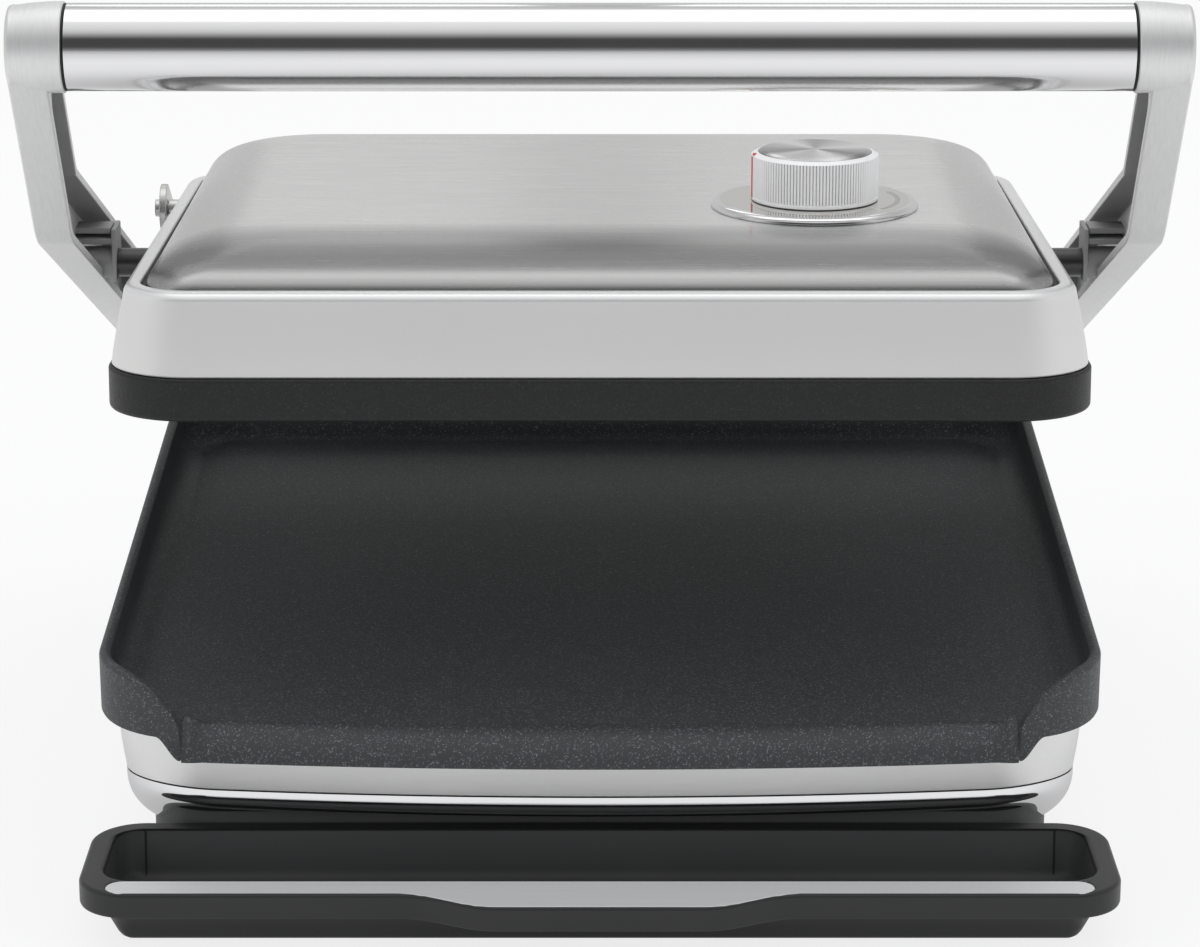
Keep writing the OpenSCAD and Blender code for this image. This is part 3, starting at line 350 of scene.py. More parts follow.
class Tree:
    """The node tree of a material or a world, with short calls that add to it."""

    def __init__(self, owner):
        owner.use_nodes = True
        self.owner = owner
        self.nodes, self.links = owner.node_tree.nodes, owner.node_tree.links
        self.shader = self.nodes.get("Principled BSDF")

    def feed(self, node, inputs):
        """Give each input its value, or link an output to it."""
        for name, value in inputs.items():
            if isinstance(value, bpy.types.NodeSocket):
                self.links.new(value, node.inputs[name])
            else:
                node.inputs[name].default_value = value

    def add(self, kind, output, inputs, **settings):
        """Add a node and return one of its outputs."""
        node = self.nodes.new("ShaderNode" + kind)
        for name, value in settings.items():
            setattr(node, name, value)
        self.feed(node, inputs)
        return node.outputs[output]

    def here(self):
        """Where a point lies on its own object."""
        return self.add("TexCoord", "Object", {})

    def squeezed(self, by=(1, 1, 1)):
        """The same with each axis squeezed."""
        return self.add("Mapping", "Vector", {"Vector": self.here(), "Scale": by})

    def noise(self, scale, detail, squeeze=(1, 1, 1)):
        """Cloudy noise from 0 to 1."""
        return self.add("TexNoise", "Fac", {"Vector": self.squeezed(squeeze), "Scale": scale,
                                            "Detail": detail, "Roughness": NOISE_ROUGHNESS})

    def rescale(self, value, source, target=UNIT):
        """Map one span of a value onto another."""
        return self.add("MapRange", "Result", {"Value": value, "From Min": source[0],
                                               "From Max": source[1], "To Min": target[0],
                                               "To Max": target[1]})

    def ramp(self, value, stops, interpolation="LINEAR"):
        """Colours or plain grey levels along a value, each with its place from 0 to 1."""
        colour = self.add("ValToRGB", "Color", {"Fac": value})
        band = colour.node.color_ramp
        band.interpolation = interpolation
        while len(band.elements) < len(stops):
            band.elements.new(0.5)
        for element, (place_at, shade) in zip(band.elements, stops):
            element.position = place_at
            element.color = (*(shade if isinstance(shade, tuple) else (shade,) * 3), 1)
        return colour

    def finish(self, colour, grain, rough, swing, metallic, level=0.5, relief=None, depth=0.0002):
        """Dress the main shader: one grain drives its roughness and its relief."""
        self.feed(self.shader, {
            "Base Color": colour, "Metallic": metallic, "Specular IOR Level": level,
            "Roughness": self.rescale(grain, UNIT, (rough - swing, rough + swing))})
        if relief is not None:
            height = {"Height": grain, "Strength": relief, "Distance": depth}
            self.feed(self.shader, {"Normal": self.add("Bump", "Normal", height)})
        return self.owner


def material_tree(name):
    return Tree(bpy.data.materials.new(name))


# %% Brushed, satin and polished metal


def brushed(name, dark, light, rough, metallic=1.0, squeeze=(1, 60, 60), scale=25.0, relief=0.02):
    """Sheet metal with fine scratches along the axis that is squeezed least."""
    tree = material_tree(name)
    grain = tree.noise(scale, 5.0, squeeze)
    colour = tree.ramp(grain, ((0, dark), (1, light)))
    return tree.finish(colour, grain, rough, 0.05, metallic, relief=relief, depth=0.0004)


def satin(name, dark, light, rough, metallic=1.0):
    """Bead-blasted or cast metal with an even, very fine grain."""
    tree = material_tree(name)
    colour = tree.ramp(tree.noise(18.0, 2.0), ((0, dark), (1, light)))
    return tree.finish(colour, tree.noise(900.0, 2.0), rough, 0.05, metallic, relief=0.06)


def polished(name, dark, rough, metallic=1.0):
    """Bright chromium with the faintest waviness from its polishing."""
    tree = material_tree(name)
    haze = tree.noise(40.0, 2.0)
    light = tuple(min(1.0, part * 1.03) for part in dark)
    return tree.finish(tree.ramp(haze, ((0, dark), (1, light))), haze, rough, 0.2 * rough, metallic)


DOME_STEEL = brushed("brushed_dome_steel", (0.66, 0.66, 0.655), (0.84, 0.84, 0.835), 0.26)
BASE_STEEL = brushed("brushed_base_steel", 0.80, 0.86, 0.38)
STRIP_STEEL = brushed("brushed_strip_steel", 0.70, 0.84, 0.36, metallic=0.25)
SKIRT_SATIN = satin("satin_skirt_metal", (0.80, 0.795, 0.785), (0.84, 0.835, 0.825), 0.46, 0.55)
ARM_METAL = brushed("brushed_arm_casting", 0.68, 0.84, 0.45, metallic=0.65, squeeze=(60, 8, 8),
                    scale=22.0, relief=0.05)
ARM_INSIDE = satin("arm_inside_casting", 0.27, 0.33, 0.60, metallic=0.0)
CHROME = polished("polished_chrome", (0.80, 0.80, 0.81), 0.045)
TUBE_CHROME = polished("polished_handle", (0.80, 0.80, 0.81), 0.13)
BRIGHT_EDGE = polished("satin_edge", (0.84, 0.84, 0.84), 0.30, metallic=0.55)
HARDWARE = satin("zinc_plated_steel", (0.50, 0.50, 0.49), (0.62, 0.62, 0.61), 0.30)
AS_CAST = satin("as_cast_aluminium", 0.33, 0.42, 0.50)
REFLECTOR = satin("bright_aluminium_sheet", 0.66, 0.74, 0.22)
OXIDISED = satin("oxidised_heater_tube", (0.10, 0.085, 0.075), (0.20, 0.17, 0.15), 0.45)
print("metals from", DOME_STEEL.name, "to", OXIDISED.name)

# %% [markdown]
# ## The dome's sheen and shade
# Brushed steel stretches its highlights across the brushing, which an anisotropic shader does. In
# the photograph the handle's reflection lies along the dome's front edge, so a mild shade that
# depends only on the distance from the front is multiplied into the steel's colour there.

# %% Stretch and shade the dome's steel
SHADE_FROM, SHADE_TO = -0.11, -0.06
HANDLE_SHADE = ((-0.108, 0.80), (-0.103, 0.66), (-0.0965, 0.42), (-0.089, 0.37), (-0.079, 0.56),
                (-0.062, 1.0))


def tangent_round(tree, axis):
    return tree.add("Tangent", "Tangent", {}, direction_type="RADIAL", axis=axis)


def shade_dome():
    """Anisotropic highlights, and the handle's shade along the front."""
    tree = Tree(DOME_STEEL)
    depth = tree.add("SeparateXYZ", "Y", {"Vector": tree.here()})
    share = tree.rescale(depth, (SHADE_FROM, SHADE_TO))
    shade = tree.ramp(share, [((y - SHADE_FROM) / (SHADE_TO - SHADE_FROM), level)
                              for y, level in HANDLE_SHADE])
    steel = tree.shader.inputs["Base Color"].links[0].from_socket
    toned = tree.add("MixRGB", "Color", {"Fac": 1.0, "Color1": steel, "Color2": shade},
                     blend_type="MULTIPLY")
    tree.feed(tree.shader, {"Base Color": toned, "Anisotropic": 0.8,
                            "Tangent": tangent_round(tree, "X")})


shade_dome()

# %% [markdown]
# ## Coated, moulded and glazed finishes
# The plates carry a charcoal non-stick coating that is slightly rough and full of tiny glints.
# Black plastic gets a fine moulded grain, rubber is duller, and the knob's plated plastic is nearly
# white; the gaps between its ribs are painted darker, as painted shade.

# %% Coatings and plastics


def moulded(name, dark, light, rough, relief=0.08, level=0.5):
    """Plastic, rubber, glaze or print with a fine moulded grain."""
    tree = material_tree(name)
    colour = tree.ramp(tree.noise(30.0, 3.0), ((0, dark), (1, light)))
    return tree.finish(colour, tree.noise(1400.0, 2.0), rough, 0.06, 0.0, level, relief)


def non_stick(name, ground, glint, level):
    """Charcoal coating on a casting, its flakes and their tiny glints painted as brighter cells in
    the colour.
    """
    tree = material_tree(name)
    # Painted glints: brighter cells in the colour for the coating's flakes and their sparkle.
    flake_glints = tree.add("TexVoronoi", "Color", {"Vector": tree.squeezed(), "Scale": 2700.0})
    colour = tree.ramp(flake_glints, ((0.72, ground), (1.0, glint)))
    return tree.finish(colour, tree.noise(1100.0, 3.0), 0.47, 0.13, 0.0, level, 0.5, 0.0003)


NON_STICK = non_stick("charcoal_non_stick", (0.038, 0.0415, 0.043), (0.19, 0.20, 0.215), 0.40)
# Painted shade: the upper plate has the lower plate's coating made darker, with fainter glints, to
# darken its front band.
UPPER_COAT_SHADED = non_stick("upper_plate_coating_painted_shade", (0.015, 0.0155, 0.016), (0.035, 0.035, 0.037), 0.30)
BLACK_PLASTIC = moulded("black_plastic", (0.022, 0.0225, 0.023), (0.030, 0.0305, 0.031), 0.38)
TRAY_PLASTIC = moulded("tray_plastic", (0.021, 0.0215, 0.022), (0.026, 0.0265, 0.027), 0.36,
                       level=0.38)
# Painted light: the basin and the pan are the same black plastic made lighter, to lift the shade
# they lie in.
BASIN_PAINTED_LIGHT, PAN_PAINTED_LIGHT = (
    moulded(name, (0.060, 0.061, 0.062), (0.070, 0.071, 0.072), 0.45, level=0.35)
    for name in ("tray_basin_painted_light", "pan_painted_light"))
BLACK_RUBBER = moulded("black_rubber", 0.010, 0.018, 0.62)
BLACK_OXIDE = moulded("black_oxide_steel", (0.010, 0.010, 0.011), (0.020, 0.020, 0.021), 0.30,
                      level=0.7)
GLAZED = moulded("glazed_ceramic", (0.68, 0.64, 0.54), (0.76, 0.72, 0.62), 0.22, relief=0.02)
PHENOLIC = moulded("phenolic_body", (0.16, 0.10, 0.06), (0.22, 0.14, 0.09), 0.45)
KNOB_SILVER = polished("plated_knob", (0.97, 0.97, 0.97), 0.30, metallic=0.08)
# Painted shade: the knob's own plating made darker for the faces down in the gaps between its ribs.
RIB_GAP_SHADE = polished("rib_gap_painted_shade", (0.52, 0.52, 0.52), 0.40, metallic=0.25)
POINTER_RED = moulded("pointer_red", (0.62, 0.035, 0.02), (0.70, 0.05, 0.03), 0.25, relief=0.01)
LENS = moulded("indicator_lens", (0.50, 0.48, 0.45), (0.58, 0.56, 0.52), 0.12, relief=0.0)
PRINT = moulded("printed_scale", (0.36, 0.36, 0.35), (0.42, 0.42, 0.41), 0.40, relief=0.0)
print("materials so far", len(bpy.data.materials))

# %% [markdown]
# ## The spun cap
# The disc on the knob was faced on a lathe, and its fine rings throw light into pale wedges. An
# anisotropic shader whose tangent runs round the cap gives the play of light, and a ramp round
# the dial's middle paints the wedges' light and dark into the colour, as painted reflections.
# The material is made further on, where that middle is known.

# %% Spun aluminium
# Painted reflections: each stop is a place round the cap and the grey level of its wedge of light or
# dark.
PAINTED_WEDGE_LIGHT = ((0.0, 0.36), (0.05, 0.30), (0.12, 0.74), (0.22, 0.58), (0.30, 0.78), (0.40, 0.30),
          (0.46, 0.46), (0.54, 0.90), (0.62, 0.72), (0.74, 0.40), (0.86, 0.84), (0.94, 0.60),
          (1.0, 0.36))


def spun(name, middle):
    """Faced aluminium whose rings run round middle, with painted reflections in wedges round it."""
    tree = material_tree(name)
    centred = tree.add("Mapping", "Vector", {"Vector": tree.here(), "Location": middle},
                       vector_type="TEXTURE")
    turn = tree.add("TexGradient", "Fac", {"Vector": centred}, gradient_type="RADIAL")
    tree.feed(tree.shader, {
        "Base Color": tree.ramp(turn, PAINTED_WEDGE_LIGHT, "EASE"), "Metallic": 1.0, "Roughness": 0.26,
        "Anisotropic": 0.85, "Anisotropic Rotation": 0.25, "Tangent": tangent_round(tree, "Z")})
    return tree.owner


# %% [markdown]
# ## The lower plate
# A cast plate with a wall on three sides. At the front the wall sweeps down in two shoulders, and
# between them the floor rolls over into a draining lip. One sweep makes all of it: its profile
# climbs the outside, rounds the rim and comes down to the floor, and a shaping step lowers the rim
# along the shoulders and turns the front stretch into the lip.

# %% Plate sizes and profiles
PLATE_W, PLATE_L, PLATE_R = 305.6, 270.0, 27.0
WALL_H, SKIRT_H, WALL_T, FOOT_IN, FOOT_ROUND = 17.0, 19.4, 3.5, 6.0, 0.9
RIM_R, FILLET_R, FLOOR_EDGE = 1.6, 8.4, 12.0
LIP_HALF, SHOULDER_R = 125.4, 23.0
LIP_REACH, LIP_DROP, ROLL_R, LIP_T, LIP_BOW_R = 6.1, 9.55, 14.0, 4.0, 1400.0
NOSE_FROM, NOSE_H, NOSE_RUN = 121.0, 2.9, 1.8
OUTER_FROM, RIM_FROM, FILLET_FROM = 7, 14, 25

wall_top = WALL_T - RIM_R
outer_h = SKIRT_H - FOOT_ROUND - RIM_R
wall_profile = ([(FOOT_IN - 0.8 * i, -SKIRT_H) for i in range(6)]
                + [(FOOT_ROUND, -SKIRT_H), (0.3, -SKIRT_H + 0.3)]
                + [(0.0, -SKIRT_H + FOOT_ROUND + outer_h * i / 6) for i in range(7)]
                + arc((RIM_R, -RIM_R), RIM_R, 180, 90, 5)[1:]
                + arc((wall_top, -RIM_R), RIM_R, 90, 0, 5)
                + arc((FLOOR_EDGE, -WALL_H + FILLET_R), FILLET_R, 180, 270, 9))


def resampled(points, count):
    """The same path with count points at even spacing."""
    lengths = [0.0]
    for a, b in zip(points, points[1:]):
        lengths.append(lengths[-1] + math.dist(a, b))
    result = []
    for i in range(count):
        want = lengths[-1] * i / (count - 1)
        k = next(j for j in range(1, len(lengths)) if lengths[j] >= want - 1e-9)
        share = (want - lengths[k - 1]) / (lengths[k] - lengths[k - 1])
        result.append(tuple(a + share * (b - a) for a, b in zip(points[k - 1], points[k])))
    return result


roll_back = -LIP_REACH + math.sqrt(ROLL_R ** 2 - (ROLL_R - LIP_DROP) ** 2)
roll_turn = 90 + math.degrees(math.acos((ROLL_R - LIP_DROP) / ROLL_R))
roll_centre = (roll_back, -WALL_H - ROLL_R)
under_r = ROLL_R - LIP_T
underside = resampled([(22.0, -WALL_H - LIP_T)] + arc(roll_centre, under_r, 90, roll_turn - 6, 12),
                      OUTER_FROM)
tip = resampled(arc(roll_centre, under_r + 0.4, roll_turn - 4, 0, 1)[:1]
                + arc(roll_centre, ROLL_R, roll_turn, 0, 1)[:1], RIM_FROM - OUTER_FROM)
roll = resampled(arc(roll_centre, ROLL_R, roll_turn - 1.5, 90, 24) + [(FLOOR_EDGE, -WALL_H)],
                 len(wall_profile) - RIM_FROM)
lip_profile = underside + tip + roll
print("profile points", len(wall_profile), len(lip_profile))

# %% Shape the plate


def eased(share):
    """0 to 1 with soft ends."""
    share = min(1.0, max(0.0, share))
    return share * share * (3 - 2 * share)


def shoulder_top(x):
    """Height of the wall's top edge where the shoulder sweeps down, 0 at full height."""
    run = LIP_HALF + SHOULDER_R - abs(x)
    if run <= 0:
        return 0.0
    return max(-WALL_H - 1.0, -SHOULDER_R + math.sqrt(max(0.0, SHOULDER_R ** 2 - run ** 2)))


def lip_point(x, index):
    """The lip's section at x, bowed in plan, with a nose where it meets the wall's end."""
    depth, height = lip_profile[index]
    centre_y, centre_z = roll_centre
    away = Vector((depth - centre_y, height - centre_z)).normalized()
    nose = NOSE_H * eased((abs(x) - NOSE_FROM) / NOSE_RUN) * eased((roll_back + 4 - depth) / 8)
    if index < OUTER_FROM:
        nose = 0.0
    bow = eased((FLOOR_EDGE - depth) / 14) * x * x / (2 * LIP_BOW_R)
    return Vector((x, depth + nose * away.x + bow, height + nose * away.y))


def plate_shape(point, base, out, index):
    """Lower the wall at the front corners and roll the front over into the lip."""
    if base.y > PLATE_R:
        return point
    half = PLATE_W / 2 - PLATE_R
    if out.y < STRAIGHT_FRONT:
        spread_x = half * (1 - max(0.0, 1 - abs(base.x) / half) ** CROWDING)
        return lip_point(math.copysign(spread_x, base.x), index)
    x = abs(base.x)
    top = shoulder_top(x)
    height = wall_profile[index][1]
    if index >= FILLET_FROM:
        height = -WALL_H + (height + WALL_H) * max(0.0, top + WALL_H) / WALL_H
    elif index >= RIM_FROM:
        height = height * max(0.35, (top + WALL_H) / WALL_H) + top
    else:
        lip_foot = LIP_DROP - SKIRT_H + WALL_H + 0.4
        foot = -SKIRT_H - lip_foot * eased((LIP_HALF + 8.6 - x) / 7.4)
        share = (height + SKIRT_H) / (SKIRT_H - RIM_R)
        height = foot + share * (top - RIM_R * 0.5 - foot)
    edge_x = math.copysign(min(x, half), base.x)
    lip = lip_point(edge_x, index)
    lip.x += point.x - edge_x
    return Vector((point.x, point.y, height)).lerp(lip, eased((LIP_HALF + 1.7 - x) / 2.4))


bm = sweep(PLATE_W, PLATE_L, PLATE_R, wall_profile, steps=48, front_cuts=47, middle_y=PLATE_L / 2,
           start_cap=True, end_cap=True, shape=plate_shape)
place(bm, ON_PLATE)
hand_over(bm, "lower_plate_cast", "base", [NON_STICK], ["lower_plate"],
          sharp=50)

# %% [markdown]
# ## The base
# A band of brushed sheet stands under the plate, cut to the plate's slope, with a bright trim
# below it that curves in to the black pan. Seen from above the front is gently bowed, so the
# sweep's shape step draws the front corners back along a wide arc.

# %% Base band and trim
BASE_W, BASE_L, BASE_R = 296.0, 257.0, 30.0
BASE_FRONT_Y, BAND_BOTTOM, TRIM_H = -129.0, 33.5, 9.5
BASE_MIDDLE = BASE_FRONT_Y + BASE_L / 2
SHEET, SEAM = 1.2, 0.3
BOW_R = 1050.0
FLARE, FLARE_RISE, FRONT_LEAN, LEAN_UP_TO = 2.9, 14, 0.06, 22
TRIM_LOW, TRIM_FACE = 15.0, 0.24


def bow_back(base, out):
    """How far a front point lies back along the bow, fading out round the corners."""
    return Vector((0, max(0.0, -out.y) * base.x ** 2 / (2 * BOW_R), 0))


def band_shape(point, base, out, index):
    """The band leans out to its top at the sides and in at the front, and follows the bow."""
    rise = max(0.0, point.z - BAND_BOTTOM - 1)
    front = eased((-out.y - 0.5) / 0.4)
    side_lean = FLARE * (1 - math.exp(-rise / FLARE_RISE)) * (1 - eased(out.y / 0.5))
    front_lean = -FRONT_LEAN * min(rise, LEAN_UP_TO)
    return point + (side_lean + front * (front_lean - side_lean)) * out + bow_back(base, out)


band_heights = [BAND_BOTTOM + rise for rise in (0.3, 2, 5, 9, 14, 20, 28, 40, 72)]
band_profile = ([(SHEET, BAND_BOTTOM), (0.25, BAND_BOTTOM)] + [(0.0, h) for h in band_heights]
                + [(SHEET, h) for h in reversed(band_heights)] + [(SHEET, BAND_BOTTOM)])
bm = sweep(BASE_W, BASE_L, BASE_R, band_profile, steps=16, front_cuts=20, middle_y=BASE_MIDDLE,
           shape=band_shape)
bmesh.ops.remove_doubles(bm, verts=bm.verts, dist=WELD)
under_plate = ON_PLATE @ Vector((0, 0, -SKIRT_H - SEAM))
plate_up = ON_PLATE.to_3x3() @ Vector((0, 0, 1))
bmesh.ops.bisect_plane(bm, geom=bm.verts[:] + bm.edges[:] + bm.faces[:], plane_co=under_plate,
                       plane_no=plate_up, clear_outer=True)
place(bm)
hand_over(bm, "base_band", "base", [BASE_STEEL], ["base_shell"])

# %% Bright trim under the band
TRIM_STEPS = 16
trim_shares = [(i / TRIM_STEPS) ** 0.9 for i in range(TRIM_STEPS + 1)]
trim_profile = ([(SHEET, 0.0), (0.5, 0.0)] + [(0.0, share) for share in trim_shares]
                + [(SHEET, share) for share in reversed(trim_shares)])


def trim_shape(point, base, out, index):
    """Low and softly curved at the sides, cut higher in front where the tray slides under."""
    front = eased((-out.y - 0.35) / 0.65)
    share = min(1.0, point.z)
    drop = (TRIM_LOW + front * (TRIM_H - TRIM_LOW)) * share
    side_in = 7.4 * share ** 2.6
    under = max(0.0, share - TRIM_FACE) / (1 - TRIM_FACE)
    front_in = 1.1 * max(0.0, TRIM_FACE - share) - 0.25 + 9.0 * under ** 2.2
    inward = side_in + front * (front_in - side_in)
    top = BAND_BOTTOM - SEAM
    return Vector((point.x, point.y, top - drop)) - inward * out + bow_back(base, out)


bm = sweep(BASE_W, BASE_L, BASE_R, trim_profile, steps=16, front_cuts=20, middle_y=BASE_MIDDLE,
           shape=trim_shape)
place(bm)
hand_over(bm, "curved_trim", "base", [CHROME], ["chrome_trim"])

# %% [markdown]
# ## The lid
# Under the lid hangs the ribbed upper plate, whose rim shows as a black band. The satin skirt
# leans in from it to a bright rolled rim, and the brushed dome swells up inside that rim, with a
# black seal in the groove between them.

# %% Upper plate with its band and ribs
LID_W, LID_L, LID_R = 300.4, 247.0, 27.0
BAND_H, BORDER, COOK_FACE, BAND_T = 13.1, 13.0, 2.5, 5.0
RIB_COUNT, RIB_W, RIB_DROP = 13, 6.0, 1.5

band_round = 1.4
upper_profile = ([(BORDER, COOK_FACE), (BORDER, 0.6), (BORDER - 0.6, 0.0), (band_round, 0.0)]
                 + arc((band_round, band_round), band_round, 270, 180, 5)[1:]
                 + [(0.0, BAND_H - 1.0)] + arc((1.0, BAND_H - 1.0), 1.0, 180, 90, 4)[1:]
                 + [(BAND_T, BAND_H), (BAND_T, 7.0)])
bm = sweep(LID_W, LID_L, LID_R, upper_profile, steps=16, start_cap=True, end_cap=True)
rib_length = LID_L - 2 * BORDER - 8
rib_pitch = (LID_W - 2 * BORDER - 8) / RIB_COUNT
for i in range(RIB_COUNT):
    middle = (i - (RIB_COUNT - 1) / 2) * rib_pitch
    made = block(bm, (middle - RIB_W / 2, middle + RIB_W / 2), (-rib_length / 2, rib_length / 2),
                 (-RIB_DROP, COOK_FACE + 0.5))
    lower = [e for e in {e for v in made for e in v.link_edges} if all(v.co.z < 0 for v in e.verts)]
    round_off(bm, lower, 1.0, 3)
place(bm, ON_LID)
hand_over(bm, "upper_plate_cast", "lid", [UPPER_COAT_SHADED], ["upper_plate"])

# %% Skirt with its rolled rim
SKIRT_IN, SKIRT_UP, SKIRT_LEAN, RIM_W, RIM_DEEP = 1.0, 26.0, 6.0, 3.4, 2.6
RIM_ROUND, INNER_ROUND, SHELF_W = 3.2, 0.7, 3.0
foot, rim_top = BAND_H + SEAM, BAND_H + SKIRT_UP - 0.6
rim_in, groove = SKIRT_LEAN + RIM_W, rim_top - RIM_DEEP
shelf_in = rim_in + SHELF_W
lean = [(4.0 * (t / 6) ** 1.15, foot + 0.4 + (SKIRT_UP - 5.0) * t / 6) for t in range(1, 7)]
skirt_profile = ([(SHEET, foot), (0.3, foot), (0.0, foot + 0.4)] + lean
                 + arc((SKIRT_LEAN + 1.3, rim_top - RIM_ROUND), RIM_ROUND, 170, 90, 10)
                 + arc((rim_in - INNER_ROUND, rim_top - INNER_ROUND), INNER_ROUND, 90, 0, 4)
                 + [(rim_in, groove), (shelf_in, groove), (shelf_in, groove - SHEET),
                    (SKIRT_LEAN + SHEET, groove - SHEET), (SHEET, foot)])
bm = sweep(LID_W - 2 * SKIRT_IN, LID_L - 2 * SKIRT_IN, LID_R - SKIRT_IN, skirt_profile, steps=20)
for face in bm.faces:
    lowest = min(v.co.z for v in face.verts)
    face.material_index = int(lowest > rim_top - RIM_ROUND + 0.2)
place(bm, ON_LID)
hand_over(bm, "satin_skirt", "lid", [SKIRT_SATIN, BRIGHT_EDGE], ["lid_skirt"])

# %% Black seal in the groove
SEAL_W, SEAL_ROUND = 1.5, 0.4
seal_out = SKIRT_IN + rim_in + 0.1
seal_foot, seal_side = groove + 0.1, groove + 1.0
seal_profile = ([(0.0, seal_foot), (0.0, seal_side)]
                + arc((SEAL_ROUND, seal_side), SEAL_ROUND, 180, 90, 3)[1:]
                + [(SEAL_W, seal_side + SEAL_ROUND), (SEAL_W, seal_foot), (0.0, seal_foot)])
bm = sweep(LID_W - 2 * seal_out, LID_L - 2 * seal_out, LID_R - seal_out, seal_profile, steps=16)
place(bm, ON_LID)
hand_over(bm, "groove_seal", "lid", [BLACK_RUBBER], ["dome_seal"])

# %% [markdown]
# ## The dome
# The dome is a pillow: rings of one rounded outline that shrink towards the top along a quarter
# ellipse, bridged into a skin. Its crown leans a little forward against the rim, so each ring is
# tilted by its share of that slope. Only the last and smallest outline keeps its face, as the top.

# %% Dome
DOME_INSET = SKIRT_IN + rim_in + 1.7
DOME_W, DOME_L = LID_W - 2 * DOME_INSET, LID_L - 2 * DOME_INSET
DOME_R, DOME_EDGE, CORNER_GROWTH = LID_R - DOME_INSET, 31.2, 0.25
DOME_FOOT, DOME_TOP = BAND_H + SKIRT_UP - RIM_DEEP + SEAM, BAND_H + SKIRT_UP + 14.5
DOME_STEPS = 22


def dome_ring(bm, share):
    """One outline of the dome at a share of the way over its rolled edge."""
    turn = math.radians(90 * share)
    step_in = DOME_EDGE * (1 - math.cos(turn))
    ring = rounded_sheet(DOME_W - 2 * step_in, DOME_L - 2 * step_in,
                         DOME_R + step_in * CORNER_GROWTH, steps=14)
    height = DOME_FOOT + (DOME_TOP - DOME_FOOT) * math.sin(turn)
    slope = math.tan(math.radians(DOME_SLOPE * math.sin(turn)))
    for v in ring.verts:
        v.co.z = height + v.co.y * slope
    known = set(bm.verts)
    add_to(bm, ring)
    return [e for e in bm.edges if not set(e.verts) & known]


bm = bmesh.new()
rings = [dome_ring(bm, i / DOME_STEPS) for i in range(DOME_STEPS + 1)]
bmesh.ops.delete(bm, geom=bm.faces[:-1], context="FACES_ONLY")
for lower, upper in zip(rings, rings[1:]):
    bmesh.ops.bridge_loops(bm, edges=lower + upper)
place(bm, ON_LID)
hand_over(bm, "brushed_dome", "lid", [DOME_STEEL], ["lid_dome"], sharp=60,
          weighted=False)

# %% [markdown]
# ## The arms
# Each arm is a cast channel, open towards the lid. Its outline is a strip that bends once, with a
# round head at the handle and a round boss at the hinge. Six corners are enough: the ends and the
# bend are bevelled to their radius. A second strip, cut out with a Boolean, hollows the channel,
# and a plate, two ribs and the pivot's boss stay inside it.

# %% Arm outline
HANDLE, BEND, HINGE = Vector((-77.5, 256.1)), Vector((-31, 197.4)), Vector((173.5, 117))
PIVOT = Vector((LID_PIVOT.y, LID_PIVOT.z))
ARM_OUT, ARM_IN, ARM_HALF, ARM_WALL, HEAD_R = 179.0, 167.0, 12.5, 3.0, 13.9
SEAM_X, HINGE_BOSS_IN, PIVOT_BOSS_IN, PIVOT_BOSS_R = 162.0, 155.8, 162.2, 5.4
BODY_BENDS, HOLLOW_BENDS, HOLLOW_TOP, HOLLOW_END = (24, 9), (14, 7), 19.4, 24.0
HEAD_PROUD, CAST_EDGE, INSIDE_MARGIN = 0.12, 0.6, 0.4
BACK_LIMIT, TOP_LIMIT = 185.9, 269.9
upper_way, lower_way = (BEND - HANDLE).normalized(), (HINGE - BEND).normalized()


def left_of(way):
    return Vector((-way.y, way.x))


def cross_edges(bm, points):
    """The edges along X that pass through some points of the side view."""
    return [e for e in bm.edges
            if abs(e.verts[0].co.x - e.verts[1].co.x) > 1
            and any((e.verts[0].co.yz - p).length < 0.01 for p in points)]


def bent_strip(x_span, start, end, half, bends):
    """A strip from start over the bend to end, with round ends, as a solid between two x."""
    outer_r, inner_r = bends
    side_1, side_2 = left_of(upper_way), left_of(lower_way)
    miter = (side_1 + side_2) * half / (1 + side_1.dot(side_2))
    a, b = start - upper_way * half, end + lower_way * half
    outline = [a + side_1 * half, BEND + miter, b + side_2 * half, b - side_2 * half, BEND - miter,
               a - side_1 * half]
    bm = bmesh.new()
    face = bm.faces.new([bm.verts.new((x_span[0], p.x, p.y)) for p in outline])
    made = bmesh.ops.extrude_face_region(bm, geom=[face])["geom"]
    bmesh.ops.translate(bm, vec=(x_span[1] - x_span[0], 0, 0),
                        verts=[g for g in made if isinstance(g, bmesh.types.BMVert)])
    bend = math.tan(math.acos(min(1, upper_way.dot(lower_way))) / 2)
    for corners, offset, steps in (((0, 2, 3, 5), half * 0.98, 14), ((1,), inner_r * bend, 8),
                                   ((4,), outer_r * bend, 10)):
        round_off(bm, cross_edges(bm, [outline[i] for i in corners]), offset, steps)
    bmesh.ops.recalc_face_normals(bm, faces=bm.faces)
    return bm


# %% Cut the channel and add what stays inside


def distance_to(point, start, end):
    """How far a point of the side view lies from a line."""
    along = (point - start).dot(end - start) / (end - start).length_squared
    return (point - start.lerp(end, max(0.0, min(1.0, along)))).length


def is_inside(point):
    """Whether a point lies on the channel's inside."""
    if point.x > ARM_OUT - ARM_WALL + 0.2:
        return False
    nearest = min(distance_to(point.yz, HANDLE, BEND), distance_to(point.yz, BEND, HINGE))
    return nearest < ARM_HALF - ARM_WALL + INSIDE_MARGIN


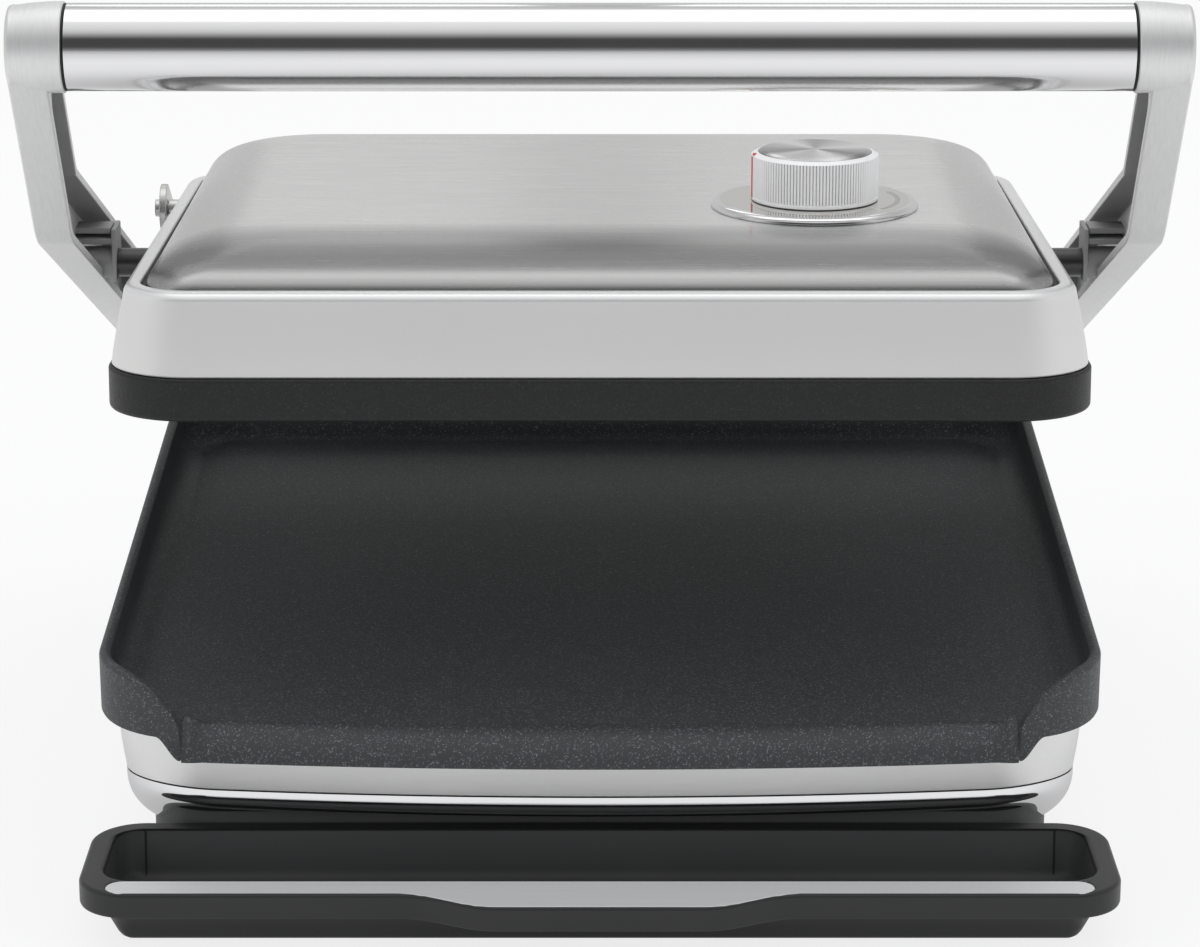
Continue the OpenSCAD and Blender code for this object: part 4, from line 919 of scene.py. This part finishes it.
def hollowed_arm():
    """The right arm's channel as a bmesh, its inside faces marked for the rougher cast finish."""
    body = bent_strip((ARM_IN, ARM_OUT - HEAD_PROUD), HANDLE, HINGE, ARM_HALF, BODY_BENDS)
    hollow = bent_strip((ARM_IN - 2, ARM_OUT - ARM_WALL), HANDLE + upper_way * HOLLOW_TOP,
                        HINGE - lower_way * HOLLOW_END, ARM_HALF - ARM_WALL, HOLLOW_BENDS)
    bm = carved(to_object(body, "arm_body"), to_object(hollow, "hollow"), CAST_EDGE)
    for face in bm.faces:
        face.material_index = int(is_inside(face.calc_center_median()))
    return bm


def add_boss(bm, x_from, x_to, centre, radius, soft=0.5):
    """A boss along X with softened rims."""
    length = x_to - x_from
    profile = [(0.0, 0.0), (radius - soft, 0.0), (radius, soft), (radius, length - soft),
               (radius - soft, length), (0.0, length)]
    add_turned(bm, profile, x_from, centre, 64)


def add_plate(bm, x_span, along, up):
    """A small plate or rib beside the pivot, with softened edges."""
    made = block(bm, x_span, [PIVOT.x + y for y in along], [PIVOT.y + z for z in up])
    round_off(bm, list({e for v in made for e in v.link_edges}), 0.3, 2)


def arm(side):
    """One whole arm. The left one is the right one mirrored."""
    bm = hollowed_arm()
    head = ([(0.0, 0.0), (HEAD_R - 0.3, 0.0), (HEAD_R, 0.3), (HEAD_R - 0.1, 5.0),
             (HEAD_R - 0.5, 10.0), (HEAD_R - 1.1, 14.6)]
            + arc((HEAD_R - 2.5, ARM_OUT - SEAM_X - 1.5), 1.5, 0, 90, 6)
            + [(0.0, ARM_OUT - SEAM_X)])
    add_turned(bm, head, SEAM_X, HANDLE, 128)
    add_boss(bm, HINGE_BOSS_IN, ARM_OUT - 2, HINGE, ARM_HALF - 0.2)
    outside = set(bm.faces)
    add_boss(bm, PIVOT_BOSS_IN + 1, ARM_OUT - 1, PIVOT, PIVOT_BOSS_R)
    add_plate(bm, (PIVOT_BOSS_IN, PIVOT_BOSS_IN + 1.5), (-6, 9), (-5.5, 12.5))
    add_plate(bm, (PIVOT_BOSS_IN + 1, ARM_OUT - 2), (-5, 8), (7.2, 9.0))
    add_plate(bm, (PIVOT_BOSS_IN + 2, ARM_OUT - 2), (-3, 8), (10.4, 12.4))
    for face in set(bm.faces) - outside:
        face.material_index = 1
    for v in bm.verts:
        v.co.y, v.co.z = min(v.co.y, BACK_LIMIT), min(v.co.z, TOP_LIMIT)
    bmesh.ops.scale(bm, vec=(side, 1, 1), verts=bm.verts)
    place(bm)
    return bm


for node, side in (("right_arm", 1), ("left_arm", -1)):
    hand_over(arm(side), node + "_cast", "arms", [ARM_METAL, ARM_INSIDE], [node],
              merge=0)

# %% [markdown]
# ## The handle
# A polished tube with thick walls, its two ends softened, spun as one ring of wall and laid along
# X. A thin black collar lies in the seam at each end.

# %% Handle tube and its collars
TUBE_R, TUBE_T, TUBE_HALF, TUBE_SOFT = 13.35, 1.6, 161.4, 0.35
tube_end = 2 * TUBE_HALF
tube_profile = [(TUBE_R - TUBE_T, 0), (TUBE_R - TUBE_SOFT, 0), (TUBE_R, TUBE_SOFT),
                (TUBE_R, tube_end - TUBE_SOFT), (TUBE_R - TUBE_SOFT, tube_end),
                (TUBE_R - TUBE_T, tube_end)]
bm = turned(tube_profile, 160)
place(bm, along_x(-TUBE_HALF, HANDLE.x, HANDLE.y))
hand_over(bm, "handle_tube_polished", "arms", [TUBE_CHROME], ["handle_tube"])

collar_in, collar_out = TUBE_R - 3, TUBE_R - 0.1
collar_profile = [(collar_in, 0.05), (collar_out, 0.05), (collar_out, 0.55), (collar_in, 0.55)]
bm = bmesh.new()
for start in (-SEAM_X, TUBE_HALF):
    add_turned(bm, collar_profile, start, HANDLE, 96, closed=True)
place(bm)
hand_over(bm, "seam_collars", "arms", [BLACK_RUBBER], ["handle_collars"], merge=0)

# %% [markdown]
# ## The dial
# A bright disc with a sloping edge lies on the dome. On it stands the knob, a plated moulding with
# fine upright ribs between a smooth foot and a plain shoulder, and the spun cap is let into its
# top.

# %% Dial frame and bezel
DIAL_X, DIAL_FRONT = 68.0, 40.0
BEZEL_R, BEZEL_H, BEZEL_SLOPE, BORE_R, BEZEL_SIDE = 33.0, 2.2, 2.6, 6.0, 0.4
ON_DIAL = (ON_LID @ Matrix.Translation((0, 0, DOME_TOP)) @ turn_x(DOME_SLOPE)
           @ Matrix.Translation((DIAL_X, -DIAL_FRONT, 0)))
flat_r = BEZEL_R - BEZEL_SLOPE
bezel_profile = ([(BORE_R, 0.1), (BEZEL_R, 0.1), (BEZEL_R, BEZEL_SIDE)]
                 + arc((flat_r, BEZEL_SIDE), BEZEL_SLOPE, 0, 90, 8,
                       squash=(BEZEL_H - BEZEL_SIDE) / BEZEL_SLOPE)[1:]
                 + [(flat_r - 0.35, BEZEL_H - 0.12), (flat_r - 0.5, BEZEL_H - 0.02),
                    (BORE_R, BEZEL_H - 0.02)])
bm = turned(bezel_profile, 144)
for face in bm.faces:
    face.material_index = int(max(v.co.xy.length for v in face.verts) < flat_r - 0.3)
place(bm, ON_DIAL)
SPUN = spun("spun_aluminium", ON_DIAL.translation * MM)
DISC_BRIGHT = polished("dial_disc", (0.72, 0.71, 0.68), 0.07)
hand_over(bm, "dial_disc", "lid", [CHROME, DISC_BRIGHT], ["dial_bezel"])

# %% Knob and cap
KNOB_R, KNOB_H, CAP_R, CAP_H, RIBS = 20.25, 15.0, 17.9, 1.4, 120
FOOT_RING_H, RIBS_TOP, RIB_SPAN = 1.0, KNOB_H - 1.5, 6
knob_foot = BEZEL_H + 0.25
cap_in = KNOB_R - CAP_R - 0.1
KNOB_RINGS = ((0.0, 0.2, 0), (0.3, 0, 0), (FOOT_RING_H, 0, 0), (FOOT_RING_H + 0.25, 0.6, 0),
              (FOOT_RING_H + 0.4, 0, 0.6), (RIBS_TOP, 0, 0.6), (RIBS_TOP + 0.5, 0, 0.4),
              (RIBS_TOP + 0.8, 0.75, 0), (KNOB_H - 0.2, 1.5, 0), (KNOB_H, 1.9, 0),
              (KNOB_H, cap_in, 0), (KNOB_H - 0.7, cap_in, 0))


def knob_skin():
    """Foot ring, ribbed wall and shoulder. Each ring has a height, an inset and a rib depth."""
    bm = bmesh.new()
    bmesh.ops.create_circle(bm, cap_ends=True, segments=RIBS * RIB_SPAN, radius=KNOB_R - 0.5)
    edges = bm.edges[:]
    for height, inset, depth in KNOB_RINGS:
        corners, edges = grow(bm, edges)
        for v in corners:
            turn = math.atan2(v.co.y, v.co.x)
            radius = KNOB_R - inset - depth * (0.5 - 0.5 * math.cos(RIBS * turn))
            v.co = Vector((radius * math.cos(turn), radius * math.sin(turn), height))
    bmesh.ops.contextual_create(bm, geom=edges)
    # Faces down in the rib gaps take the darker copy of the plating: painted shade.
    for face in bm.faces:
        middle = face.calc_center_median()
        in_gap = math.cos(RIBS * math.atan2(middle.y, middle.x)) < -0.4
        ribbed = FOOT_RING_H + 0.3 < middle.z < RIBS_TOP + 0.4
        face.material_index = int(in_gap and ribbed)
    return bm


bm = knob_skin()
place(bm, ON_DIAL @ Matrix.Translation((0, 0, knob_foot)))
hand_over(bm, "ribbed_knob", "dial", [KNOB_SILVER, RIB_GAP_SHADE], ["dial_knob"], sharp=55)

cap_profile = [(0.0, 0.0), (CAP_R, 0.0), (CAP_R, 0.7), (CAP_R - 0.25, 0.95), (CAP_R - 1.6, CAP_H),
               (0.0, CAP_H)]
bm = turned(cap_profile, 128, closed=False)
place(bm, ON_DIAL @ Matrix.Translation((0, 0, knob_foot + KNOB_H - 0.6)))
hand_over(bm, "spun_cap", "dial", [SPUN], ["knob_cap"], sharp=12, weighted=False)

# %% Red pointer down the knob's side and over its shoulder
POINTER_TURN, POINTER_W = 188, 1.3
bm = bmesh.new()
for radii, heights in (((KNOB_R - 0.6, KNOB_R + 0.1), (0.4, RIBS_TOP + 0.3)),
                       ((KNOB_R - 2.0, KNOB_R - 0.3), (RIBS_TOP + 0.1, RIBS_TOP + 1.3))):
    block(bm, radii, (-POINTER_W / 2, POINTER_W / 2), heights)
round_off(bm, [e for e in bm.edges if all(v.co.x > KNOB_R - 0.4 for v in e.verts)], 0.2, 2)
place(bm, ON_DIAL @ Matrix.Translation((0, 0, knob_foot))
      @ Matrix.Rotation(math.radians(POINTER_TURN), 4, "Z"))
hand_over(bm, "red_pointer", "dial", [POINTER_RED], ["knob_pointer"], merge=0)


# %% [markdown]
# ## The drip tray
# The tray is one moulding: a basin under a flat rim with a finger tab in front. One sweep climbs
# the outside of the basin, goes out along the rim and over it, and comes down inside. The rim's
# front edge is cut into short stretches, which the shaping step pushes out along a cosine to make
# the tab. A Boolean then sinks the recess for the bright strip.

# %% Tray sizes
TRAY_W, TRAY_L, TRAY_R = 311.8, 60.0, 16.0
TRAY_FRONT, TRAY_TOP, TRAY_BOTTOM, RIM_H = -176.0, 20.5, 1.4, 8.0
RIM_FRONT, RIM_SIDE, TRAY_T = 12.0, 7.0, 2.4
TAB_REACH, TAB_W, TAB_SIDE = 10.0, 118.0, 28.0
OUTER_ROUND, BASIN_ROUND, FLOOR_ROUND, END_SLANT, BASIN_BACK = 1.3, 1.4, 4.0, 4.5, 7.0
TRAY_MIDDLE = TRAY_FRONT + TRAY_L / 2
rim_low, floor_h = TRAY_TOP - RIM_H, TRAY_BOTTOM + TRAY_T
inner_edge = RIM_SIDE - BASIN_ROUND

body_profile = [(inset, TRAY_BOTTOM + rise) for inset, rise in (
    (12.0, 0), (8.4, 0), (7.4, 0.15), (6.7, 0.6), (6.3, 1.4), (5.9, 3.6))]
body_profile.append((RIM_SIDE - TRAY_T, rim_low))
rim_profile = ([(0.9, rim_low), (0.25, rim_low + 0.25), (0.0, rim_low + 0.9),
                (0.0, TRAY_TOP - OUTER_ROUND)]
               + arc((OUTER_ROUND, TRAY_TOP - OUTER_ROUND), OUTER_ROUND, 180, 90, 6)[1:])
basin_profile = ([(inner_edge, TRAY_TOP)]
                 + arc((inner_edge, TRAY_TOP - BASIN_ROUND), BASIN_ROUND, 90, 8, 6)[1:]
                 + [(RIM_SIDE + 0.9, TRAY_TOP - 7)]
                 + arc((RIM_SIDE + 5.6, floor_h + FLOOR_ROUND), FLOOR_ROUND, 172, 270, 7))
tray_profile = body_profile + rim_profile + basin_profile
rim_from, basin_from = len(body_profile), len(body_profile) + len(rim_profile)


def tab_at(x):
    """Forward reach of the finger tab."""
    share = min(1.0, max(0.0, (TAB_W / 2 - abs(x)) / TAB_SIDE))
    return TAB_REACH * (1 - math.cos(math.pi * share)) / 2


def tray_shape(point, base, out, index):
    """Push the rim out along the tab, and set the basin back behind the wide front rim."""
    if out.y < STRAIGHT_FRONT:
        half = TRAY_W / 2 - TRAY_R
        point.x = math.copysign(half * (abs(base.x) / half) ** CROWDING, base.x)
    if rim_from <= index < basin_from:
        return point - Vector((0, tab_at(point.x), 0)) if out.y < STRAIGHT_FRONT else point
    if index < rim_from:
        point.x -= END_SLANT * (rim_low - point.z) / (rim_low - TRAY_BOTTOM) * out.x
    if base.y < TRAY_MIDDLE:
        return point + Vector((0, RIM_FRONT - RIM_SIDE, 0))
    if index >= basin_from + 2:
        point.y += (base.x ** 2 / (2 * BOW_R) - BASIN_BACK) * max(0.0, out.y)
    return point


bm = sweep(TRAY_W, TRAY_L, TRAY_R, tray_profile, steps=16, front_cuts=59, middle_y=TRAY_MIDDLE,
           start_cap=True, end_cap=True, shape=tray_shape)
place(bm)
bmesh.ops.recalc_face_normals(bm, faces=bm.faces)
tray_body = to_object(bm, "tray_body")

# %% Recess for the strip, and the tongues that run under the base
RECESS_GAP, RECESS_UNDER, RECESS_OVER = 0.15 * MM, 0.1 * MM, 2 * MM
TONGUE_X, TONGUE_W, TONGUE_T, TONGUE_L, TONGUE_FROM, TONGUE_Z = 70, 22, 2.6, 58, -119.5, 13.9
strip_bm = bmesh.new()
strip_bm.from_mesh(frame["nodes"]["tray_strip"].data)
bmesh.ops.remove_doubles(strip_bm, verts=strip_bm.verts, dist=1e-6)
strip_low, strip_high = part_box("tray_strip")
strip_middle = (strip_low + strip_high) / 2
for v in strip_bm.verts:
    away = v.co - strip_middle
    v.co.x += math.copysign(RECESS_GAP, away.x)
    v.co.y += math.copysign(RECESS_GAP, away.y)
    v.co.z = strip_low.z - RECESS_UNDER if away.z < 0 else strip_high.z + RECESS_OVER
bm = carved(tray_body, to_object(strip_bm, "strip_recess"))
# The basin's inside faces take the lighter copy of the plastic: painted light in the shade under the
# plate.
for face in bm.faces:
    middle = face.calc_center_median() / MM
    above = TRAY_BOTTOM + 1.6 < middle.z < TRAY_TOP - 1.2
    within = abs(middle.x) < TRAY_W / 2 - RIM_SIDE + 0.6 and middle.y > TRAY_FRONT + RIM_FRONT - 0.6
    from_middle = middle - Vector((0, TRAY_MIDDLE, middle.z))
    facing = face.normal.z > 0.5 or face.normal.dot(from_middle) < 0
    face.material_index = int(above and within and facing)
for x in (-TONGUE_X, TONGUE_X):
    spans = ((x - TONGUE_W / 2, x + TONGUE_W / 2), (TONGUE_FROM, TONGUE_FROM + TONGUE_L),
             (TONGUE_Z - TONGUE_T / 2, TONGUE_Z + TONGUE_T / 2))
    block(bm, *[(low * MM, high * MM) for low, high in spans])
hand_over(bm, "drip_tray_moulded", "tray", [TRAY_PLASTIC, BASIN_PAINTED_LIGHT],
          ["drip_tray"], merge=0)

# %% [markdown]
# ## Pieces that keep their shape
# The link, its bolts, the posts, the housing and the rest are right as they stand. Those that show
# get a copy with soft edges, and those inside keep their mesh and get a finish.

# %% Softened pieces, each with the width of its soft edge
for slot, material, widths in (
        ("steel_hardware", HARDWARE, {"levelling_link": 0.4, "link_crank": 0.3, "link_bolt": 0.3,
                                      "crank_pin": 0.3, "link_spacer": 0.2, "hinge_shaft": 0.5}),
        ("black_pins", BLACK_OXIDE, {"left_pivot_pin": 0.5, "right_pivot_pin": 0.5}),
        ("black_plastic", BLACK_PLASTIC, {"left_hinge_post": 1.2, "right_hinge_post": 1.2,
                                          "rear_housing": 0.8}),
        ("black_plastic", PAN_PAINTED_LIGHT, {"base_pan": 0.8}),
        ("black_rubber", BLACK_RUBBER, {"feet": 1.0, "cord_gland": 0.5}),
        ("brushed_steel", STRIP_STEEL, {"tray_strip": 0.15})):
    for node, width in widths.items():
        softened(node, material, width)

# %% Finishes for the nodes that stay
for material, kept in (
        (HARDWARE, ("base_screws", "housing_screws", "post_screws", "lid_screws", "plate_posts",
                    "tie_rod", "thermostat_spindle")),
        (BLACK_PLASTIC, ("tray_runners",)),
        (AS_CAST, ("left_pivot_block", "right_pivot_block")),
        (GLAZED, ("terminal_block", "thermal_fuse")),
        (OXIDISED, ("lower_element", "upper_element")),
        (REFLECTOR, ("lower_reflector", "upper_reflector")),
        (PHENOLIC, ("thermostat",)), (LENS, ("indicator_lens",)), (PRINT, ("dial_marks",))):
    for node in kept:
        mesh = frame["nodes"][node].data
        mesh.materials.clear()
        mesh.materials.append(material)
    print(material.name, kept)

# %% [markdown]
# ## The studio
# The grill stands on a pale floor under soft light. What its metal shows matters most: a bright
# ceiling and back wall, a pale floor, and a darker wall behind the camera, which draws the dark
# band along the handle. The world gives that room to glossy rays, a plain even light to everything
# else, and white to the camera. Each wall is a list of stops: the sine of the elevation, and a
# grey level.

# %% World
FRONT_WALL = ((-0.25, 0.95), (-0.10, 0.42), (0.16, 0.06), (0.52, 0.055), (0.66, 0.35), (0.90, 1.0))
BACK_WALL = ((-0.10, 0.75), (0.08, 0.58), (0.30, 0.62), (0.60, 0.50), (0.82, 0.70), (0.97, 0.95))
FRONT_TO_BACK = (-0.75, -0.40)
WHITE, EVEN, EVEN_LEVEL = (1, 1, 1, 1), (0.97, 0.98, 1.0, 1), 0.88


def studio_world():
    """The room that glossy rays see, the even light, and the white backdrop."""
    scene.world = bpy.data.worlds.new("studio")
    tree = Tree(scene.world)
    tree.nodes.clear()
    direction = tree.add("TexCoord", "Generated", {})
    way = tree.add("SeparateXYZ", "Z", {"Vector": direction}).node.outputs
    height = tree.rescale(way["Z"], (-1.0, 1.0))
    front, back = (tree.ramp(height, [((sine + 1) / 2, level) for sine, level in wall])
                   for wall in (FRONT_WALL, BACK_WALL))
    room = tree.add("MixRGB", "Color", {"Fac": tree.rescale(way["Y"], FRONT_TO_BACK),
                                        "Color1": front, "Color2": back})
    rays = tree.add("LightPath", "Is Camera Ray", {}).node.outputs

    def background(colour, strength=1.0):
        return tree.add("Background", "Background", {"Color": colour, "Strength": strength})

    def choose(ray, otherwise, chosen):
        return tree.add("MixShader", "Shader", {"Fac": rays[ray], 1: otherwise, 2: chosen})

    lit = choose("Is Glossy Ray", background(EVEN, EVEN_LEVEL), background(room))
    shown = choose("Is Camera Ray", lit, background(WHITE))
    tree.feed(tree.nodes.new("ShaderNodeOutputWorld"), {"Surface": shown})


studio_world()

# %% [markdown]
# ## The floor
# The floor is plain and pale, and to glossy rays it also glows: bright round the grill, and dimmer
# right under it and far away, so that low metal mirrors a pool of light as in the photograph. The
# camera sees it white. Each stop is a distance from the grill's middle in metres, and a level.

# %% Floor
FLOOR_R, POOL_R, GLOW = 14.0, 3.0, 0.80
POOL = ((0.15, 0.50), (0.25, 0.80), (0.34, 0.95), (0.55, 1.0), (1.0, 0.82), (2.6, 0.55))


def floor_material():
    """Pale paint with a share of glow for camera rays and glossy rays."""
    tree = material_tree("pale_floor")
    tree.feed(tree.shader, {"Base Color": (0.86, 0.86, 0.86, 1), "Roughness": 0.9,
                            "Specular IOR Level": 0.0})
    away = tree.add("VectorMath", "Value", {0: tree.here()}, operation="LENGTH")
    pool = tree.ramp(tree.rescale(away, (0.0, POOL_R)),
                     [(metres / POOL_R, level) for metres, level in POOL])
    rays = tree.add("LightPath", "Is Camera Ray", {}).node.outputs
    camera_ray, glossy_ray = rays["Is Camera Ray"], rays["Is Glossy Ray"]
    seen = tree.add("MixRGB", "Color", {"Fac": camera_ray, "Color1": pool, "Color2": WHITE})
    glow = tree.add("Emission", "Emission", {"Color": seen})
    either = tree.add("Math", "Value", {0: camera_ray, 1: glossy_ray}, operation="MAXIMUM")
    share = tree.add("Math", "Value", {0: either, 1: GLOW}, operation="MULTIPLY")
    paint = tree.shader.outputs["BSDF"]
    mixed = tree.add("MixShader", "Shader", {"Fac": share, 1: paint, 2: glow})
    tree.feed(tree.nodes["Material Output"], {"Surface": mixed})
    return tree.owner


bm = bmesh.new()
bmesh.ops.create_circle(bm, cap_ends=True, segments=96, radius=FLOOR_R)
floor = to_object(bm, "floor")
floor.data.materials.append(floor_material())

# %% [markdown]
# ## Lamps and camera
# A wide softbox hangs over the grill, a little behind it. A long low one lights the fronts, and
# two weaker ones fill from the front corners. None of these three is mirrored in the metal. Two
# small lamps behind put soft highlights on the lid. The camera was fitted to the photograph's own
# edges: it looks down sixteen degrees from about one and a third metres away through a long lens.

# %% Lamps


def softbox(name, place_at, look_at, size, power):
    """A rectangular lamp turned to a point."""
    data = bpy.data.lights.new(name, "AREA")
    data.shape = "RECTANGLE"
    data.size, data.size_y = size
    data.energy = power
    lamp = bpy.data.objects.new(name, data)
    lamp.location = place_at
    lamp.rotation_euler = (Vector(look_at) - Vector(place_at)).to_track_quat("-Z", "Y").to_euler()
    scene.collection.objects.link(lamp)
    return lamp


softbox("top_softbox", (0.0, 0.25, 1.7), (0, 0, 0.1), (1.8, 1.2), 3.6)
softbox("low_front", (0, -1.9, 0.30), (0, 0.1, 0.11), (1.8, 0.45), 2.6).visible_glossy = False
for side in (-1, 1):
    fill = softbox("front_fill", (side * 1.9, -1.2, 1.3), (0, 0, 0.12), (0.9, 1.2), 3)
    fill.visible_glossy = False
    softbox("rear_lamp", (side * 0.20, 1.15, 1.0), (side * 0.05, 0.08, 0.08), (0.30, 0.30), 0.30)

# %% Camera
CAMERA_AT, LOOKS_DOWN, LENS_MM, FILM_W, FAR = (0.0, -1.283, 0.4665), 15.96, 120.5, 36.0, 60.0
camera_data = bpy.data.cameras.new("camera")
camera_data.sensor_fit = "HORIZONTAL"
camera_data.sensor_width = FILM_W
camera_data.lens = LENS_MM
camera_data.clip_end = FAR
camera = bpy.data.objects.new("camera", camera_data)
camera.location = CAMERA_AT
camera.rotation_euler = (math.radians(90 - LOOKS_DOWN), 0, 0)
scene.collection.objects.link(camera)
scene.camera = camera
scene.view_settings.view_transform = "Standard"
